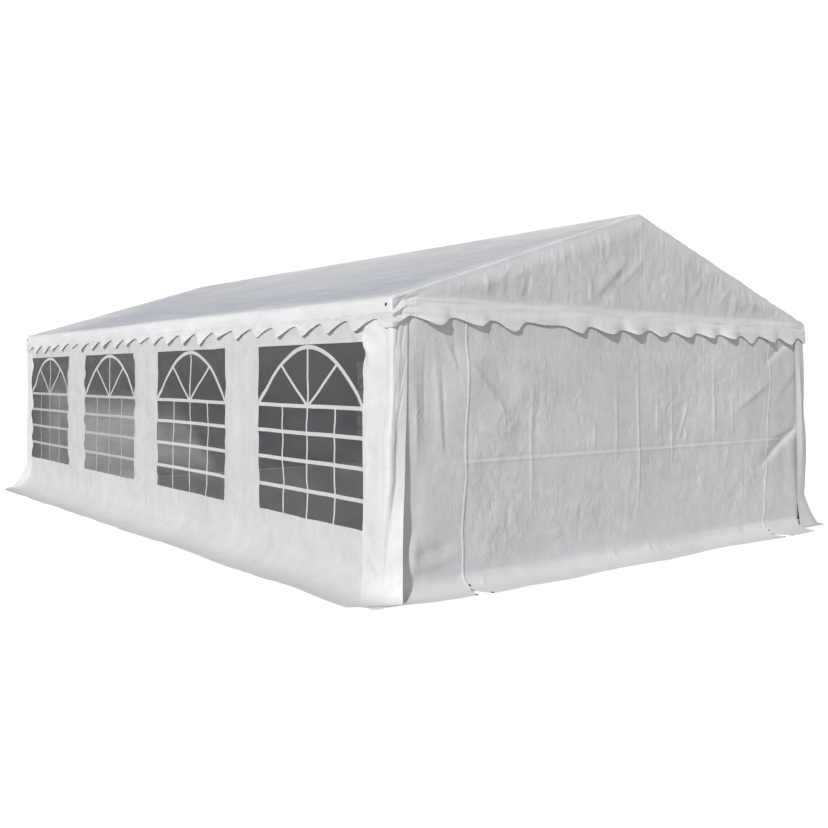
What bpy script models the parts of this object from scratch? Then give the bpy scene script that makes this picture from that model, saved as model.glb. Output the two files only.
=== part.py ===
"""A party marquee, 5 m wide and 8 m long: a frame of steel tubes on ten posts, a polyethylene
roof cover with scalloped valances, two side walls with four windows each, and at either gable
an end wall with a zipped door.

Metres, +Z up. The origin is on the ground at the middle of the tent, X runs across it and the
ridge runs along Y. The front gable faces -Y, left is -X, and numbers run from front to back.
"""

import math

import bmesh
import bpy
from mathutils import Matrix, Vector

# Driving dimensions of the covered tent
WIDTH = 5.0
LENGTH = 8.0
BAYS = 4
EAVE_HEIGHT = 1.95
RIDGE_HEIGHT = 2.76

# Cloth
SHEET = 0.002
FILM = 0.001
CLOTH_GAP = 0.0005
TOUCH_GAP = 0.0003
WALL_TOP = 1.90
CORNER_RETURN = 0.085
END_WALL_EDGE = 2.465
DOOR_WIDTH = 3.72

# Valances, whose hem is a wave
VALANCE_TIP = 0.195
VALANCE_PEAK = 0.130
VALANCE_LEAN = 0.03
SIDE_PITCH = 0.342
GABLE_PITCH = 0.333
FIRST_TIP = 0.06
WAVE_STEPS = 8

# Ground skirts: the reach of each outside its wall, and how the bend over the ground is rounded
SIDE_SKIRT = 0.31
END_SKIRT = 0.25
CORNER_SKIRT = 0.13
RETURN_SKIRT = 0.16
SKIRT_BEND = 0.18
BEND_STEPS = 6
END_SKIRT_EDGE = 2.33
SKIRT_CUT_HEIGHT = 0.30

# Windows, centred a little behind the middle of each bay
WINDOW_WIDTH = 1.42
WINDOW_SILL = 0.41
WINDOW_HEAD = 1.67
WINDOW_SHIFT = 0.04
FILM_LAP = 0.02

# Steel tubes, and the sleeves of the fittings that join them
TUBE_RADIUS = 0.019
SLEEVE_RADIUS = 0.022
RAIL_SLEEVE_RADIUS = 0.0212
RAFTER_SLEEVE_RADIUS = 0.0216
TUBE_SIDES = 12
SLEEVE_REACH = 0.12
RAIL_SLEEVE_REACH = 0.10
PURLIN_SLEEVE_REACH = 0.08
GABLE_BAR_HEIGHT = 1.895

# Base plates
PLATE_SIZE = 0.09
PLATE_THICKNESS = 0.004
SOCKET_HEIGHT = 0.09
SOCKET_RADIUS = 0.0215
PEG_HOLE_RADIUS = 0.006
PEG_HOLE_OFFSET = 0.033

# Places that follow from the dimensions above
SLOPE = math.atan2(RIDGE_HEIGHT - EAVE_HEIGHT, WIDTH / 2)
SHEET_TO_AXIS = SHEET + CLOTH_GAP + SLEEVE_RADIUS
POST_X = WIDTH / 2 - 0.03
POST_Y = LENGTH / 2 - 0.03
BAY = LENGTH / BAYS
WALL_OFFSET = SLEEVE_RADIUS + CLOTH_GAP
WALL_X = POST_X + WALL_OFFSET
WALL_Y = POST_Y + WALL_OFFSET
RETURN_OFFSET = WALL_OFFSET + SHEET + CLOTH_GAP
RAIL_Z = EAVE_HEIGHT + (WIDTH / 2 - POST_X) * math.tan(SLOPE) - SHEET_TO_AXIS / math.cos(SLOPE)
RIDGE_Z = RIDGE_HEIGHT - SHEET_TO_AXIS / math.cos(SLOPE)
RAFTER_LENGTH = math.hypot(POST_X, RIDGE_Z - RAIL_Z)
RISE = Vector((POST_X, 0, RIDGE_Z - RAIL_Z)).normalized()
POST_ROWS = [-POST_Y, -BAY, 0.0, BAY, POST_Y]
SIDES = (("left", -1), ("right", 1))


def clear_scene():
    for obj in list(bpy.data.objects):
        bpy.data.objects.remove(obj)


def make_collection(name):
    collection = bpy.data.collections.new(name)
    bpy.context.scene.collection.children.link(collection)
    return collection


def make_material(name, colour, roughness, metallic=0.0, alpha=1.0):
    material = bpy.data.materials.new(name)
    material.use_nodes = True
    shader = material.node_tree.nodes["Principled BSDF"]
    shader.inputs["Base Color"].default_value = (*colour, 1.0)
    shader.inputs["Roughness"].default_value = roughness
    shader.inputs["Metallic"].default_value = metallic
    shader.inputs["Alpha"].default_value = alpha
    return material


clear_scene()
TENT = make_collection("marquee_tent")
HELPERS = make_collection("cutters")
STEEL = make_material("galvanised_steel", (0.60, 0.62, 0.64), 0.42, metallic=0.85)
ROOF_CLOTH = make_material("roof_cloth", (0.80, 0.82, 0.85), 0.48)
WALL_CLOTH = make_material("wall_cloth", (0.82, 0.83, 0.84), 0.50)
CLEAR_FILM = make_material("window_film", (0.26, 0.27, 0.29), 0.12, alpha=0.6)


def add_piece(name, mesh, material, rotation_z=0.0):
    """A node of the tent."""
    if not mesh.materials:
        mesh.materials.append(material)
    piece = bpy.data.objects.new(name, mesh)
    piece.rotation_euler.z = rotation_z
    TENT.objects.link(piece)
    return piece


def add_helper(name, mesh):
    helper = bpy.data.objects.new(name, mesh)
    helper.hide_render = True
    helper.display_type = "WIRE"
    HELPERS.objects.link(helper)
    return helper


def new_mesh(name, build):
    """A mesh filled by build(bm)."""
    bm = bmesh.new()
    build(bm)
    mesh = bpy.data.meshes.new(name)
    bm.to_mesh(mesh)
    bm.free()
    return mesh


def shaped(mesh, kind, **settings):
    """The mesh as a modifier leaves it."""
    carrier = add_helper(mesh.name, mesh)
    modifier = carrier.modifiers.new(kind.lower(), kind)
    for key, value in settings.items():
        setattr(modifier, key, value)
    bpy.context.view_layer.update()
    graph = bpy.context.evaluated_depsgraph_get()
    result = bpy.data.meshes.new_from_object(carrier.evaluated_get(graph))
    result.name = mesh.name
    bpy.data.objects.remove(carrier)
    return result


def joined(mesh, addition):
    return shaped(mesh, "BOOLEAN", operation="UNION", object=addition, use_self=True)


def cut(mesh, cutter):
    return shaped(mesh, "BOOLEAN", operation="DIFFERENCE", object=cutter)


def smooth(mesh):
    mesh.shade_smooth()
    mesh.set_sharp_from_angle(angle=math.radians(35))
    return mesh


def add_tube(bm, start, end, radius):
    """A closed round bar between two points."""
    start, end = Vector(start), Vector(end)
    along = end - start
    turn = along.to_track_quat("Z", "Y").to_matrix().to_4x4()
    bmesh.ops.create_cone(
        bm,
        cap_ends=True,
        segments=TUBE_SIDES,
        radius1=radius,
        radius2=radius,
        depth=along.length,
        matrix=Matrix.Translation((start + end) / 2) @ turn,
    )


def add_box(bm, low, high):
    low, high = Vector(low), Vector(high)
    size = Matrix.Diagonal((*(high - low), 1.0))
    bmesh.ops.create_cube(bm, size=1.0, matrix=Matrix.Translation((low + high) / 2) @ size)


# Steel frame


def sleeved_tube(name, tube, sleeves):
    """A tube fused with the sleeves of its fittings. Each is (start, end, radius)."""

    def build_sleeves(bm):
        for sleeve in sleeves:
            add_tube(bm, *sleeve)

    mesh = new_mesh(name, lambda bm: add_tube(bm, *tube))
    fittings = add_helper(name + "_fittings", new_mesh(name + "_fittings", build_sleeves))
    return smooth(joined(mesh, fittings))


def rail_sleeve(x, z, row, radius):
    """The sleeve along a rail at one row of posts. At the gables it ends flush with the post."""
    low = max(row - RAIL_SLEEVE_REACH, -POST_Y - radius)
    high = min(row + RAIL_SLEEVE_REACH, POST_Y + radius)
    return (x, low, z), (x, high, z), radius


def build_eave_rail(name, side):
    """The rail along one side, with a socket down to each post and one up to each rafter."""
    x = side * POST_X
    inward = Vector((-side * RISE.x, 0, RISE.z))
    sleeves = []
    for row in POST_ROWS:
        centre = Vector((x, row, RAIL_Z))
        sleeves.append(rail_sleeve(x, RAIL_Z, row, RAIL_SLEEVE_RADIUS))
        sleeves.append((centre, centre - Vector((0, 0, SLEEVE_REACH)), SLEEVE_RADIUS))
        sleeves.append((centre, centre + SLEEVE_REACH * inward, RAFTER_SLEEVE_RADIUS))
    tube = ((x, -POST_Y, RAIL_Z), (x, POST_Y, RAIL_Z), TUBE_RADIUS)
    add_piece(name, sleeved_tube(name, tube, sleeves), STEEL)


def build_ridge_rail(name):
    sleeves = []
    for row in POST_ROWS:
        centre = Vector((0, row, RIDGE_Z))
        sleeves.append(rail_sleeve(0, RIDGE_Z, row, SLEEVE_RADIUS))
        for _, side in SIDES:
            down = Vector((side * RISE.x, 0, -RISE.z))
            sleeves.append((centre, centre + SLEEVE_REACH * down, RAFTER_SLEEVE_RADIUS))
    tube = ((0, -POST_Y, RIDGE_Z), (0, POST_Y, RIDGE_Z), TUBE_RADIUS)
    add_piece(name, sleeved_tube(name, tube, sleeves), STEEL)


def build_rafter(name, side, row):
    """A rafter, with the cross fitting that takes the middle purlins halfway up."""
    foot = Vector((side * POST_X, row, RAIL_Z))
    up = Vector((-side * RISE.x, 0, RISE.z))
    middle = foot + RAFTER_LENGTH / 2 * up
    start = SLEEVE_REACH + TOUCH_GAP
    to_front = Vector((0, -PURLIN_SLEEVE_REACH if row > -POST_Y else 0, 0))
    to_back = Vector((0, PURLIN_SLEEVE_REACH if row < POST_Y else 0, 0))
    reach = PURLIN_SLEEVE_REACH * up
    sleeves = [
        (middle - reach, middle + reach, RAFTER_SLEEVE_RADIUS),
        (middle + to_front, middle + to_back, RAIL_SLEEVE_RADIUS),
    ]
    tube = (foot + start * up, foot + (RAFTER_LENGTH - start) * up, TUBE_RADIUS)
    add_piece(name, sleeved_tube(name, tube, sleeves), STEEL)


def build_straight_tube(name, start, end):
    add_piece(name, smooth(new_mesh(name, lambda bm: add_tube(bm, start, end, TUBE_RADIUS))), STEEL)


def build_middle_purlin(name, side, row, next_row):
    x = side * POST_X / 2
    z = (RAIL_Z + RIDGE_Z) / 2
    trim = PURLIN_SLEEVE_REACH + TOUCH_GAP
    build_straight_tube(name, (x, row + trim, z), (x, next_row - trim, z))


def build_gable_bar(name, end):
    """The bar across one gable at the eaves, between the corner posts' sockets."""
    reach = POST_X - SLEEVE_RADIUS - TOUCH_GAP
    y = end * (WALL_Y - CLOTH_GAP - TUBE_RADIUS)
    build_straight_tube(name, (-reach, y, GABLE_BAR_HEIGHT), (reach, y, GABLE_BAR_HEIGHT))


def post_mesh():
    """A post with its base plate, standing at the origin."""
    inside_plate = PLATE_THICKNESS / 2
    top = RAIL_Z - SLEEVE_REACH - TOUCH_GAP

    def foot(bm):
        half = PLATE_SIZE / 2
        add_box(bm, (-half, -half, 0), (half, half, PLATE_THICKNESS))
        add_tube(bm, (0, 0, inside_plate), (0, 0, SOCKET_HEIGHT), SOCKET_RADIUS)

    def peg_holes(bm):
        for spot in (-PEG_HOLE_OFFSET, PEG_HOLE_OFFSET):
            low, high = (spot, spot, -PLATE_THICKNESS), (spot, spot, 2 * PLATE_THICKNESS)
            add_tube(bm, low, high, PEG_HOLE_RADIUS)

    mesh = new_mesh("post", lambda bm: add_tube(bm, (0, 0, inside_plate), (0, 0, top), TUBE_RADIUS))
    mesh = joined(mesh, add_helper("post_foot", new_mesh("post_foot", foot)))
    return smooth(cut(mesh, add_helper("peg_holes", new_mesh("peg_holes", peg_holes))))


# Cloth


def outline_prism(name, points, half_depth):
    """A helper with a flat outline in its own X and Y, half_depth thick to either side of it."""
    curve = bpy.data.curves.new(name, "CURVE")
    curve.dimensions = "2D"
    curve.fill_mode = "BOTH"
    curve.extrude = half_depth
    spline = curve.splines.new("POLY")
    spline.points.add(len(points) - 1)
    for point, (u, v) in zip(spline.points, points):
        point.co = (u, v, 0, 1)
    spline.use_cyclic_u = True
    guide = add_helper(name + "_outline", curve)
    bpy.context.view_layer.update()
    graph = bpy.context.evaluated_depsgraph_get()
    bm = bmesh.new()
    bm.from_mesh(bpy.data.meshes.new_from_object(guide.evaluated_get(graph)))
    bmesh.ops.remove_doubles(bm, verts=bm.verts, dist=1e-5)
    bmesh.ops.recalc_face_normals(bm, faces=bm.faces)
    mesh = bpy.data.meshes.new(name)
    bm.to_mesh(mesh)
    bm.free()
    bpy.data.objects.remove(guide)
    return add_helper(name, mesh)


def under_hem(name, span, pitch):
    """A cutter for what lies below the wavy hem of a valance that is as long as span."""
    middle = EAVE_HEIGHT - (VALANCE_TIP + VALANCE_PEAK) / 2
    swing = (VALANCE_TIP - VALANCE_PEAK) / 2
    steps = math.ceil((span + 2 * pitch) / pitch) * WAVE_STEPS
    hem = []
    for step in range(steps + 1):
        u = -span / 2 + FIRST_TIP + (step / WAVE_STEPS - 1) * pitch
        hem.append((u, middle - swing * math.cos(2 * math.pi * step / WAVE_STEPS)))
    floor = EAVE_HEIGHT - 2 * VALANCE_TIP
    return outline_prism(name, [(hem[0][0], floor), (hem[-1][0], floor), *reversed(hem)], WIDTH)


def sheet_mesh(name, sections, offset):
    """A cloth through sections with like numbers of points. offset 1 lays its thickness on the
    side that the faces look to, and -1 on the other."""

    def build(bm):
        rows = [[bm.verts.new(point) for point in section] for section in sections]
        for row, next_row in zip(rows, rows[1:]):
            for i in range(len(row) - 1):
                bm.faces.new((row[i], row[i + 1], next_row[i + 1], next_row[i]))

    return thickened(new_mesh(name, build), offset)


def thickened(mesh, offset):
    return shaped(mesh, "SOLIDIFY", thickness=SHEET, offset=offset, use_even_offset=True)


def wall_section(base, outward, reach):
    """The inner face of a wall at one place, from its top down and out over the ground. base is
    where it meets the wall's foot, and reach is how far the skirt comes out of it."""
    profile = [(0.0, WALL_TOP)]
    for step in range(BEND_STEPS + 1):
        turn = math.pi / 2 * step / BEND_STEPS
        profile.append((SKIRT_BEND * (1 - math.cos(turn)), SKIRT_BEND * (1 - math.sin(turn))))
    profile.append((SIDE_SKIRT, 0.0))
    spread = reach / SIDE_SKIRT
    return [Vector((*base, z)) + spread * u * Vector((*outward, 0)) for u, z in profile]


def roof_cover_mesh():
    """Both slopes and the valances along the eaves, as one sheet."""
    half = [(WIDTH / 2 + VALANCE_LEAN, EAVE_HEIGHT - VALANCE_TIP), (WIDTH / 2, EAVE_HEIGHT)]
    profile = [(-x, z) for x, z in half] + [(0, RIDGE_HEIGHT)] + half[::-1]
    sections = [[Vector((x, y, z)) for x, z in profile] for y in (-LENGTH / 2, LENGTH / 2)]
    mesh = sheet_mesh("roof_cover", sections, -1)
    cutter = under_hem("side_hems", LENGTH, SIDE_PITCH)
    cutter.matrix_world = Matrix(((0, 0, 1, 0), (1, 0, 0, 0), (0, 1, 0, 0), (0, 0, 0, 1)))
    return cut(mesh, cutter)


def gable_panel_mesh():
    """The front triangle under the roof, with the valance that hangs from it."""
    inset = SHEET + TOUCH_GAP
    face_y = -(POST_Y + RETURN_OFFSET + SHEET + CLOTH_GAP)
    edge = WIDTH / 2 - inset
    drop = inset / math.cos(SLOPE)
    hem = (face_y - VALANCE_LEAN, EAVE_HEIGHT - VALANCE_TIP)

    def build(bm):
        left = bm.verts.new((-edge, face_y, EAVE_HEIGHT - drop))
        right = bm.verts.new((edge, face_y, EAVE_HEIGHT - drop))
        peak = bm.verts.new((0, face_y, RIDGE_HEIGHT - drop))
        low_left = bm.verts.new((-edge, *hem))
        low_right = bm.verts.new((edge, *hem))
        bm.faces.new((left, right, peak))
        bm.faces.new((low_left, low_right, right, left))

    mesh = thickened(new_mesh("gable_panel", build), 1)
    cutter = under_hem("gable_hem", WIDTH, GABLE_PITCH)
    cutter.matrix_world = Matrix.Rotation(math.pi / 2, 4, "X")
    return cut(mesh, cutter)


def window_centres():
    return [-LENGTH / 2 + BAY * (bay + 0.5) + WINDOW_SHIFT for bay in range(BAYS)]


def corner_sections(end):
    """The side wall round the left corner post at the end with this sign, from the side on."""
    return_y = end * (POST_Y + RETURN_OFFSET)
    diagonal = (-math.sqrt(0.5), end * math.sqrt(0.5))
    return [
        wall_section((-WALL_X, end * POST_Y), (-1, 0), SIDE_SKIRT),
        wall_section((-WALL_X, return_y), diagonal, CORNER_SKIRT),
        wall_section((-POST_X, return_y), (0, end), CORNER_SKIRT),
        wall_section((-POST_X + CORNER_RETURN, return_y), (0, end), RETURN_SKIRT),
    ]


def side_wall_mesh():
    """The left wall with its ground skirt, its windows cut out, wrapped round both corners."""

    def openings(bm):
        for centre in window_centres():
            low = (-WIDTH / 2, centre - WINDOW_WIDTH / 2, WINDOW_SILL)
            high = (-WALL_X + SHEET, centre + WINDOW_WIDTH / 2, WINDOW_HEAD)
            add_box(bm, low, high)

    sections = corner_sections(1)[::-1] + corner_sections(-1)
    mesh = sheet_mesh("side_wall", sections, 1)
    return cut(mesh, add_helper("window_openings", new_mesh("window_openings", openings)))


def window_mesh(centre):
    """The clear film welded behind one opening of the left wall."""
    outer = -WALL_X + TOUCH_GAP
    reach = WINDOW_WIDTH / 2 + FILM_LAP

    def build(bm):
        low = (outer, centre - reach, WINDOW_SILL - FILM_LAP)
        high = (outer + FILM, centre + reach, WINDOW_HEAD + FILM_LAP)
        add_box(bm, low, high)

    return new_mesh("window", build)


def end_wall_mesh(name, left, right):
    """A part of the front wall with its ground skirt, between two distances across the gable."""

    def corner(bm):
        for _, side in SIDES:
            near, far = sorted((side * END_SKIRT_EDGE, side * WIDTH / 2))
            low = (near, -LENGTH / 2 - 2 * END_SKIRT, -SHEET)
            add_box(bm, low, (far, -LENGTH / 2 + END_SKIRT, SKIRT_CUT_HEIGHT))

    sections = [wall_section((x, -WALL_Y), (0, -1), END_SKIRT) for x in (left, right)]
    mesh = sheet_mesh(name, sections, 1)
    if max(-left, right) > END_SKIRT_EDGE:
        mesh = cut(mesh, add_helper(name + "_corner", new_mesh(name + "_corner", corner)))
    return mesh


def build_frame():
    post = post_mesh()
    for label, side in SIDES:
        build_eave_rail(f"eave_rail_{label}", side)
        for number, row in enumerate(POST_ROWS, start=1):
            build_rafter(f"rafter_{label}_{number}", side, row)
            add_piece(f"post_{label}_{number}", post, STEEL).location = (side * POST_X, row, 0)
        for number, (row, next_row) in enumerate(zip(POST_ROWS, POST_ROWS[1:]), start=1):
            build_middle_purlin(f"middle_purlin_{label}_{number}", side, row, next_row)
    build_ridge_rail("ridge_rail")
    build_gable_bar("gable_bar_front", -1)
    build_gable_bar("gable_bar_back", 1)


def build_cloth():
    """The back repeats the front, and the right side the left, by half a turn, which swaps left
    with right and front with back."""
    add_piece("roof_cover", roof_cover_mesh(), ROOF_CLOTH)
    half_door = DOOR_WIDTH / 2
    beside_door = half_door + TOUCH_GAP
    gable = gable_panel_mesh()
    door = end_wall_mesh("door", -half_door, half_door)
    wall_left = end_wall_mesh("end_wall_left", -END_WALL_EDGE, -beside_door)
    wall_right = end_wall_mesh("end_wall_right", beside_door, END_WALL_EDGE)
    add_piece("front_wall_left", wall_left, WALL_CLOTH)
    add_piece("front_wall_right", wall_right, WALL_CLOTH)
    add_piece("back_wall_left", wall_right, WALL_CLOTH, math.pi)
    add_piece("back_wall_right", wall_left, WALL_CLOTH, math.pi)
    for label, turn in (("front", 0.0), ("back", math.pi)):
        add_piece(f"gable_panel_{label}", gable, ROOF_CLOTH, turn)
        add_piece(f"{label}_door", door, WALL_CLOTH, turn)
    side_wall = side_wall_mesh()
    add_piece("side_wall_left", side_wall, WALL_CLOTH)
    add_piece("side_wall_right", side_wall, WALL_CLOTH, math.pi)
    for number, centre in enumerate(window_centres(), start=1):
        window = window_mesh(centre)
        add_piece(f"window_left_{number}", window, CLEAR_FILM)
        add_piece(f"window_right_{BAYS + 1 - number}", window, CLEAR_FILM, math.pi)


build_frame()
build_cloth()
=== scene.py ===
import math
from collections import namedtuple

import bpy
import numpy as np
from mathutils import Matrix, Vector


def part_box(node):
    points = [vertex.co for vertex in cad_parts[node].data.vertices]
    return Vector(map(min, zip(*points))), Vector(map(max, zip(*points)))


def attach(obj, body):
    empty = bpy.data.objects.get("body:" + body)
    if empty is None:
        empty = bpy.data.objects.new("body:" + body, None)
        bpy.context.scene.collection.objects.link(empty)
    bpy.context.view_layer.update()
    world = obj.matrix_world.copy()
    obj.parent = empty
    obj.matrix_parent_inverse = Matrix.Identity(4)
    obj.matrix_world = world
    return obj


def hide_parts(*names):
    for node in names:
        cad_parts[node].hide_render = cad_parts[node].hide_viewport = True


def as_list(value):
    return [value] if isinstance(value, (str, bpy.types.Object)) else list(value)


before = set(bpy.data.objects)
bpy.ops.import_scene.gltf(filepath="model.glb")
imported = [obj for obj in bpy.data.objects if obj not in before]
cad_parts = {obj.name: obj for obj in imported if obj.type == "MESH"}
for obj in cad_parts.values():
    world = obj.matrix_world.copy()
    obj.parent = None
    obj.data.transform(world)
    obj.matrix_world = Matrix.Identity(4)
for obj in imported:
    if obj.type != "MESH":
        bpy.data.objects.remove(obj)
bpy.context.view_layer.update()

# The cloths of the marquee with their folds, hems and seams, and the films with their printed bars.
# Metres, +Z up. The front gable faces -Y, left is -X and the ridge runs along Y. Each cloth is one
# sheet over a grid of points, and every strip on it follows the same surface.


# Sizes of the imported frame
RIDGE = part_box("roof_cover")[1].z
WALL_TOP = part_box("side_wall_left")[1].z
PLATE_LOW, PLATE_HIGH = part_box("post_left_1")
POST_X = -(PLATE_LOW.x + PLATE_HIGH.x) / 2
POST_Y = -(PLATE_LOW.y + PLATE_HIGH.y) / 2
POST_ROWS = np.array((-POST_Y, -2.0, 0.0, 2.0, POST_Y))
HALF_WIDTH = 2.5
EAVE = 1.95
SLOPE = math.atan2(RIDGE - EAVE, HALF_WIDTH)
SLOPE_LENGTH = math.hypot(HALF_WIDTH, RIDGE - EAVE)
FILM_LAP = 0.02


def window_of(number):
    """Where a left window's opening starts and ends along Y, and its sill and head."""
    low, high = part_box(f"window_left_{number}")
    return low.y + FILM_LAP, high.y - FILM_LAP, low.z + FILM_LAP, high.z - FILM_LAP


WINDOWS = [window_of(number) for number in (1, 2, 3, 4)]
SILL, HEAD = WINDOWS[0][2:]

# How the cloth lies on the frame
SIDE_PLANE = POST_X + 0.0265
END_PLANE = POST_Y + 0.024
GABLE_PLANE = POST_Y + 0.0285
CORNER_RADIUS = 0.0265
RETURN_LENGTH = 0.125
SIDE_END = POST_Y + RETURN_LENGTH

# The foot of a wall: the height where it turns out, the lengths of its turn and its flat skirt, and
# the share of the skirt's reach that the turn takes
Foot = namedtuple("Foot", "height turn flat share")
SIDE_FOOT = Foot(0.18, 0.3, 0.07, 0.8)
END_FOOT = Foot(0.105, 0.185, 0.11, 0.55)
SIDE_UPRIGHT = WALL_TOP - SIDE_FOOT.height
SIDE_DROP = SIDE_UPRIGHT + SIDE_FOOT.turn + SIDE_FOOT.flat
END_UPRIGHT = WALL_TOP - END_FOOT.height
END_DROP = END_UPRIGHT + END_FOOT.turn + END_FOOT.flat

# The free edge of the near corner's return: height, distance across and distance along
RETURN_EDGE = np.array([
    (0.0, -2.457, -4.056), (0.33, -2.448, -4.046), (0.52, -2.443, -4.044),
    (0.65, -2.428, -4.032), (0.77, -2.418, -4.028), (0.97, -2.41, -4.022),
    (1.19, -2.389, -4.008), (1.34, -2.381, -4.004), (1.9, -2.376, -4.003),
])
# The same edge on the other three corners, where the return lies close to the end wall
SNUG_EDGE = np.array([
    (0.0, -2.303, -4.03), (0.28, -2.297, -4.022), (0.93, -2.3, -4.014), (1.9, -2.312, -4.006),
])
# The outer edge of the side skirt round the corner: distance along the wall, across and along
CORNER_SKIRT = np.array([
    (3.25, -2.8, -3.25), (3.45, -2.803, -3.58), (3.61, -2.811, -3.93), (3.66, -2.735, -3.975),
    (3.8, -2.68, -4.01), (3.97, -2.6, -4.06), (4.03, -2.555, -4.09), (4.095, -2.497, -4.116),
])
# The same edge where the foot of the corner is kicked out
KICKED_SKIRT = np.array([
    (3.25, -2.8, -3.25), (3.45, -2.803, -3.58), (3.6, -2.806, -3.8), (3.8, -2.76, -3.95),
    (3.97, -2.68, -4.05), (4.03, -2.53, -4.062), (4.095, -2.3, -4.05),
])
# Where the skirt's corner starts along the wall, and how high up a kicked foot starts
SKIRT_START = CORNER_SKIRT[0, 0]
KICK_HEIGHT = 0.29
# The outer edge of the front skirt: distance across and distance along
END_SKIRT = np.array([
    (-2.484, -4.127), (-2.236, -4.191), (-1.942, -4.217), (-1.831, -4.233),
    (-1.514, -4.222), (-1.126, -4.25), (-0.534, -4.219), (-0.026, -4.254),
    (0.804, -4.209), (1.578, -4.27), (2.167, -4.263), (2.3, -4.221),
])
# Both outer edges of an end wall: distance down and distance across
END_EDGE_LEFT = np.array([(0.0, -2.462), (END_UPRIGHT, -2.462), (END_DROP, -2.484)])
END_EDGE_RIGHT = np.array([
    (0.0, 2.462), (END_UPRIGHT - 0.27, 2.462), (END_UPRIGHT - 0.17, 2.34), (END_UPRIGHT, 2.335),
    (END_DROP, 2.218),
])
# Both zips of an end wall: height and distance across
ZIP_LEFT = np.array([(0.03, -1.892), (0.4, -1.909), (0.85, -1.882), (1.55, -1.872), (1.9, -1.87)])
ZIP_RIGHT = np.array([(0.05, 1.747), (0.85, 1.796), (1.4, 1.857), (1.9, 1.862)])
ZIP_FOOT = END_UPRIGHT + 0.12
# Half the clearance between two cloths along a zip, and half the slit at the skirt's outer edge
ZIP_CLEARANCE = 0.0006
ZIP_GAP = 0.05

# The gable's hem: the peaks of its wave, across and height, and its tips with how far each curls out
GABLE_PEAKS = (
    (-2.36, 1.835), (-2.01, 1.836), (-1.651, 1.831), (-1.31, 1.831), (-0.956, 1.817),
    (-0.642, 1.819), (-0.242, 1.805), (0.084, 1.812), (0.403, 1.807), (0.736, 1.806),
    (1.05, 1.805), (1.381, 1.803), (1.68, 1.805), (2.013, 1.797), (2.341, 1.805),
)
GABLE_TIPS = (
    (-2.5, 1.76, 0.0), (-2.145, 1.781, 0.04), (-1.773, 1.787, 0.024), (-1.437, 1.757, 0.012),
    (-1.12, 1.815, 0.006), (-0.749, 1.766, 0.025), (-0.417, 1.767, 0.04), (-0.116, 1.772, 0.045),
    (0.224, 1.763, 0.02), (0.569, 1.767, 0.035), (0.909, 1.771, 0.035), (1.217, 1.768, 0.04),
    (1.536, 1.736, 0.01), (1.88, 1.756, 0.03), (2.195, 1.739, 0.015), (2.5, 1.757, 0.0),
)
# The eave valance's wave
SIDE_PITCH = 0.342
SIDE_PEAK_AT = -3.819
SIDE_PEAK = 1.815
SIDE_TIP = 1.738

# The strips on the cloths: width, lift of the edges and rise in the middle
GABLE_SEAM = (0.016, 0.0006, 0.0028)
GABLE_TWIN_SEAM = (0.01, 0.0006, 0.0016)
WINDOW_BORDER = (0.03, 0.001, 0.0008)
BAY_SEAM = (0.026, 0.0006, 0.0016)
SILL_SEAM = (0.02, 0.0006, 0.0012)
LEVEL_BAR = (0.028, 0.0012, 0.0004)
UPRIGHT_BAR = (0.018, 0.0008, 0.0004)
SPOKE_BAR = (0.022, 0.0008, 0.0004)
ARCH_BAR = (0.03, 0.0016, 0.0004)
ZIP_FLAP = (0.026, 0.0012, 0.0042)

# How far apart the points of the cloths are. The unseen ends and side are coarser.
ROOF_STEP = 0.026
GABLE_STEP = 0.0056
GABLE_STEP_DOWN = 0.02
SIDE_STEP = 0.015
SIDE_STEP_DOWN = 0.0145
CORNER_STEP = 0.004
FILM_STEP = 0.026
END_STEP = 0.0086
END_STEP_DOWN = 0.0125

MARQUEE = bpy.data.collections.new("marquee")
bpy.context.scene.collection.children.link(MARQUEE)


# Noise and folds


def unit(x):
    """x held between 0 and 1."""
    return np.clip(x, 0.0, 1.0)


def smooth(x):
    """0 below 0, 1 above 1 and a soft step between."""
    x = unit(x)
    return x * x * (3.0 - 2.0 * x)


def rise(x, start, over):
    """0 below start, 1 from over beyond it and a soft step between."""
    return smooth((x - start) / over)


def fall(x, end, over):
    """1 until over before end, 0 above it and a soft step between."""
    return smooth((end - x) / over)


def bell(x, width):
    return np.exp(-((x / width) ** 2))


def fade(x):
    return x * x * x * (x * (6.0 * x - 15.0) + 10.0)


def points_of(*parts):
    return np.stack(parts, axis=-1)


def look_up(table, at, column=1):
    """A column of a table of numbers, between its rows by the first column."""
    return np.interp(at, table[:, 0], table[:, column])


def hills(u, v, size_u, size_v, seed):
    """Smooth random hills from -1 to 1, about size_u by size_v across."""
    table = np.random.default_rng(seed).uniform(-1.0, 1.0, (128, 128))
    a, b = np.broadcast_arrays(u / size_u + 64.37, v / size_v + 64.81)
    i, j = np.floor(a).astype(int), np.floor(b).astype(int)
    p, q = fade(a - i), fade(b - j)
    i, j, k, m = i % 128, j % 128, (i + 1) % 128, (j + 1) % 128
    near = table[i, j] * (1 - p) + table[k, j] * p
    far = table[i, m] * (1 - p) + table[k, m] * p
    return near * (1 - q) + far * q


def waves_on(u, v, seed):
    """Hills on one cloth, to be asked for by their height, their size along u and v, and a draw."""
    return lambda tall, size_u, size_v, draw=0: tall * hills(u, v, size_u, size_v, seed + draw)


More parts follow.
